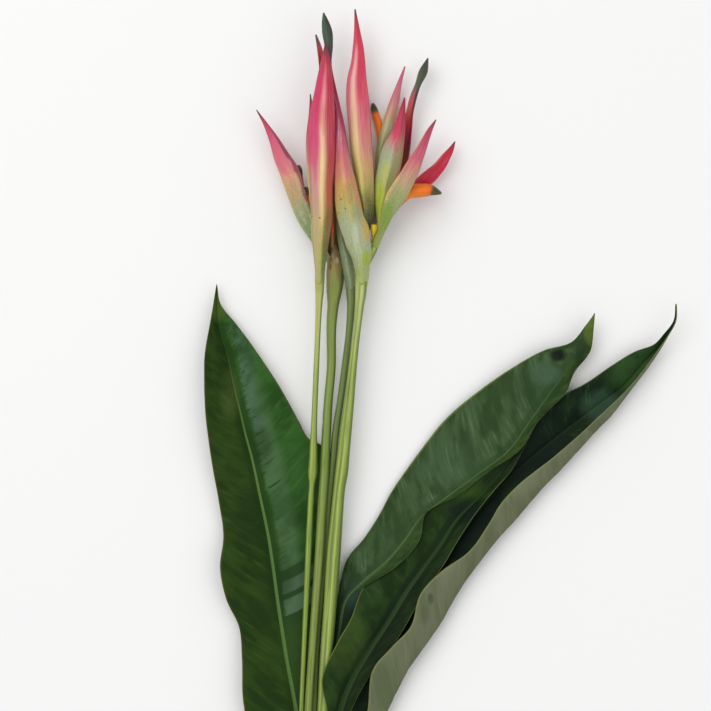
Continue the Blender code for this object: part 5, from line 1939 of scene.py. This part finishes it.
UNDERSIDE_TONE = HalfTone((106, 112, 86), (90, 98, 70), (124, 130, 104), (112, 118, 86))
LEAF_UNDERSIDE = LeafFinish(
    "leaf_underside",
    UNDERSIDE_TONE,
    UNDERSIDE_TONE,
    rib=(124, 132, 86), margin=(124, 130, 80), streak_share=0.4, band_share=0.6, rough=0.7,
    gloss=0.12, bump_mm=0.15, seed=20,
    marks=(
        Mark((50, -162), (2.6, 5), (66, 74, 54), 0.8), Mark((46, -172), (4, 9), (84, 92, 66)),
        Mark((60, -140), (10, 16), (120, 124, 100), 0.5),
        Mark((110, -80), (16, 16), (116, 122, 96), 0.5),
        Mark((20, -220), (10, 24), (82, 96, 62), 0.5),
    ),
)
LEAF_FINISHES = {
    "leaf_left": LeafFinish(
        "left_leaf_blade",
        # Painted light and shade: the left half darker, the right half lighter.
        HalfTone((46, 70, 20), (28, 50, 14), (60, 84, 32), (28, 50, 14), 0.5),
        HalfTone((52, 94, 38), (34, 68, 22), (76, 112, 58), (34, 62, 20), 0.85),
        rib=(88, 118, 62), margin=(104, 88, 42), margin_share=0.5, rib_width=1.4, rib_fade=0.68,
        ticks=0.75, seed=1,
        vein_marks=(
            # Painted sheen: light bluish bands beside the midrib of the right half, between darker
            # vein bands and dashes.
            VeinMark(174, 330, (76, 106, 70), 0.75, 6, 20, 40, 0.55),
            VeinMark(296, 366, (84, 108, 96), 0.5, 7, 15, 16, 0.8),
            VeinMark(196, 203, (38, 64, 28), 0.8), VeinMark(188, 196, (80, 104, 80), 0.7, 7),
            VeinMark(184, 188, (36, 60, 26), 0.85), VeinMark(174, 184, (82, 106, 80), 0.7, 5),
            VeinMark(60, 174, (36, 62, 26), 0.85, 0),
            VeinMark(294.4, 295.6, (32, 58, 22), 0.7, 6, 13),
            VeinMark(272.4, 273.4, (32, 58, 22), 0.7, 9, 15),
            VeinMark(257.4, 259, (30, 54, 22), 0.75, 7, 17),
            VeinMark(236, 237, (36, 62, 26), 0.6, 6, 12),
            VeinMark(220, 221, (36, 62, 26), 0.6, 9, 18),
        ),
        marks=(
            Mark((-84, -25), (9, 22), (74, 92, 44), 0.5), Mark((-92, 34), (9, 14), (82, 106, 44)),
            Mark((-70, -110), (16, 30), (22, 44, 14)), Mark((-52, -150), (14, 26), (26, 48, 16)),
            Mark((-66, -60), (14, 20), (24, 46, 14), 0.5),
            Mark((-40, -200), (16, 30), (52, 78, 26), 0.5),
        ),
    ),
    "leaf_upper": LeafFinish(
        "upper_leaf_blade",
        # Painted light and shade: the left half lighter, the right half darker.
        HalfTone((62, 86, 50), (40, 62, 28), (90, 112, 84), (42, 64, 32)),
        HalfTone((54, 78, 34), (36, 56, 22), (78, 100, 54), (46, 68, 32), 0.4),
        rib=(66, 90, 48), margin=(118, 138, 72), streak_share=0.75, band_share=0.85, seed=2,
        marks=(
            Mark((118, -22), (26, 20), (40, 66, 34), 0.55),
            # Painted sheen: bluish light near the left margin.
            Mark((126, -12), (14, 10), (74, 98, 80), 0.5),
            Mark((135, 0.3), (7, 5.4), (6, 14, 8), 1),
            Mark((157.5, 19), (6.5, 15), (134, 152, 52), 0.85),
            Mark((150, 0), (5, 12), (24, 42, 22), 0.7),
            Mark((60, -70), (34, 22), (68, 92, 62), 0.4),
            Mark((30, -120), (26, 40), (54, 76, 42), 0.5), Mark((90, -20), (30, 12), (48, 72, 32)),
            # Painted shadow over the lower blade between the stems and the next leaf, with a faint
            # painted bluish highlight in it.
            Mark((-6, -176), (16, 40), (16, 32, 30), 0.85),
            Mark((0, -160), (10, 14), (60, 84, 88), 0.35),
        ),
    ),
    "leaf_inner": LeafFinish(
        "inner_leaf_blade",
        # Painted light and shade: the left half lighter, the right half darker, and a near-black
        # valley as painted shade in the fold.
        HalfTone((42, 68, 26), (24, 44, 14), (56, 82, 34), (16, 34, 18), 0.7, 6),
        HalfTone((32, 54, 18), (16, 32, 10), (46, 68, 24), (16, 32, 12), 0.6, 6),
        rib=(54, 76, 46), margin=(122, 134, 66), margin_share=0.6, rib_width=2.6, rib_share=0.75,
        seed=3,
        marks=(
            # Painted light on the upper left half, then painted shadow in the fold beside the
            # midrib.
            Mark((66, -94), (30, 18), (62, 90, 28), 0.4),
            Mark((78, -104), (30, 12), (8, 22, 18), 0.85),
            Mark((-6, -190), (18, 26), (66, 86, 34), 0.5),
            Mark((20, -190), (16, 30), (12, 26, 10)), Mark((48, -136), (18, 16), (22, 42, 16)),
        ),
    ),
    "leaf_outer": LeafFinish(
        "outer_leaf_blade",
        # Painted shade: both halves near-black over the upper side.
        HalfTone((28, 52, 24), (10, 26, 14), (62, 90, 58), (10, 24, 14), 0.5),
        HalfTone((28, 50, 20), (10, 26, 12), (46, 70, 34), (14, 30, 14), 0.5),
        rib=(36, 60, 28), margin=(116, 128, 80), rib_share=0.3, seed=4,
        marks=(
            # A lighter green tip that is partly painted sheen, painted sheen beside it, then
            # painted near-black shade over the middle of the blade.
            Mark((190, -8), (34, 24), (50, 82, 38), 0.8),
            Mark((164, -34), (18, 14), (64, 94, 72), 0.55),
            Mark((120, -66), (34, 30), (12, 26, 20), 0.85),
            Mark((80, -110), (34, 34), (12, 26, 20), 0.8),
        ),
    ),
}

LEAVES = (
    Leaf("leaf_left", LEFT_LEAF, (-36.0, 6.6), (0.06, 0.03)),
    Leaf("leaf_upper", UPPER_LEAF, (-29.6, 6.6), (0.1, 0.05)),
    Leaf("leaf_inner", INNER_LEAF, (-17.4, 10.4), (0.12, 0.03)),
    Leaf("leaf_outer", OUTER_LEAF, (-23.2, 6.6), (0.03, 0.0)),
)


@dataclass
class Flower:
    """One flowering stem with its bracts and florets."""

    number: int

    def build(self, tubes: GrowthNodes, skins: GrowthNodes) -> None:
        """Build the stem, the bracts and the florets.

        Args:
            tubes: The tree that turns a line into a tube.
            skins: The tree that lifts a sheet's skin.
        """
        stem = f"stem_{self.number}"
        slot = Slot.SHEATH if stem == "stem_3" else Slot.STEM
        Tube(stem, slot, STEM_FINISHES[stem], STEMS[stem]).build(tubes)
        for node, (keel_way, stations) in self._own(BRACTS):
            olive = node in OLIVE_BRACTS
            slot = Slot.BRACT_OLIVE if olive else Slot.BRACT
            base_keel = BASE_KEELS.get(node, keel_way)
            finish = BRACT_FINISHES[node]
            ruffle = 1.2 if olive else 0.5
            Bract(node, slot, finish, keel_way, stations, base_keel, ruffle).build(skins)
        for node, stations in self._own(FLORETS):
            slot = Slot.FLORET_YELLOW if node == "floret_4_2" else Slot.FLORET
            finish = FLORET_FINISHES.get(node, ORANGE_FLORET)
            Tube(
                node, slot, finish, stations, rows=60, sides=24, lobes=3.0, lobe_depth=0.08
            ).build(tubes)

    def _own(self, table: dict[str, Any]) -> list[tuple[str, Any]]:
        """The rows of a table that belong to this stem."""
        return [row for row in table.items() if row[0].split("_")[1] == str(self.number)]


def main() -> None:
    """Build the whole bunch and its studio."""
    logging.basicConfig(level=logging.INFO, format="%(message)s")
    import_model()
    tubes, skins = tube_tree(), skin_tree()
    for number in range(1, len(STEMS) + 1):
        Flower(number).build(tubes, skins)
    for leaf in LEAVES:
        leaf.build(skins)
    Tie().build(strand_tree())
    Studio().build()


if __name__ == "__main__":
    main()
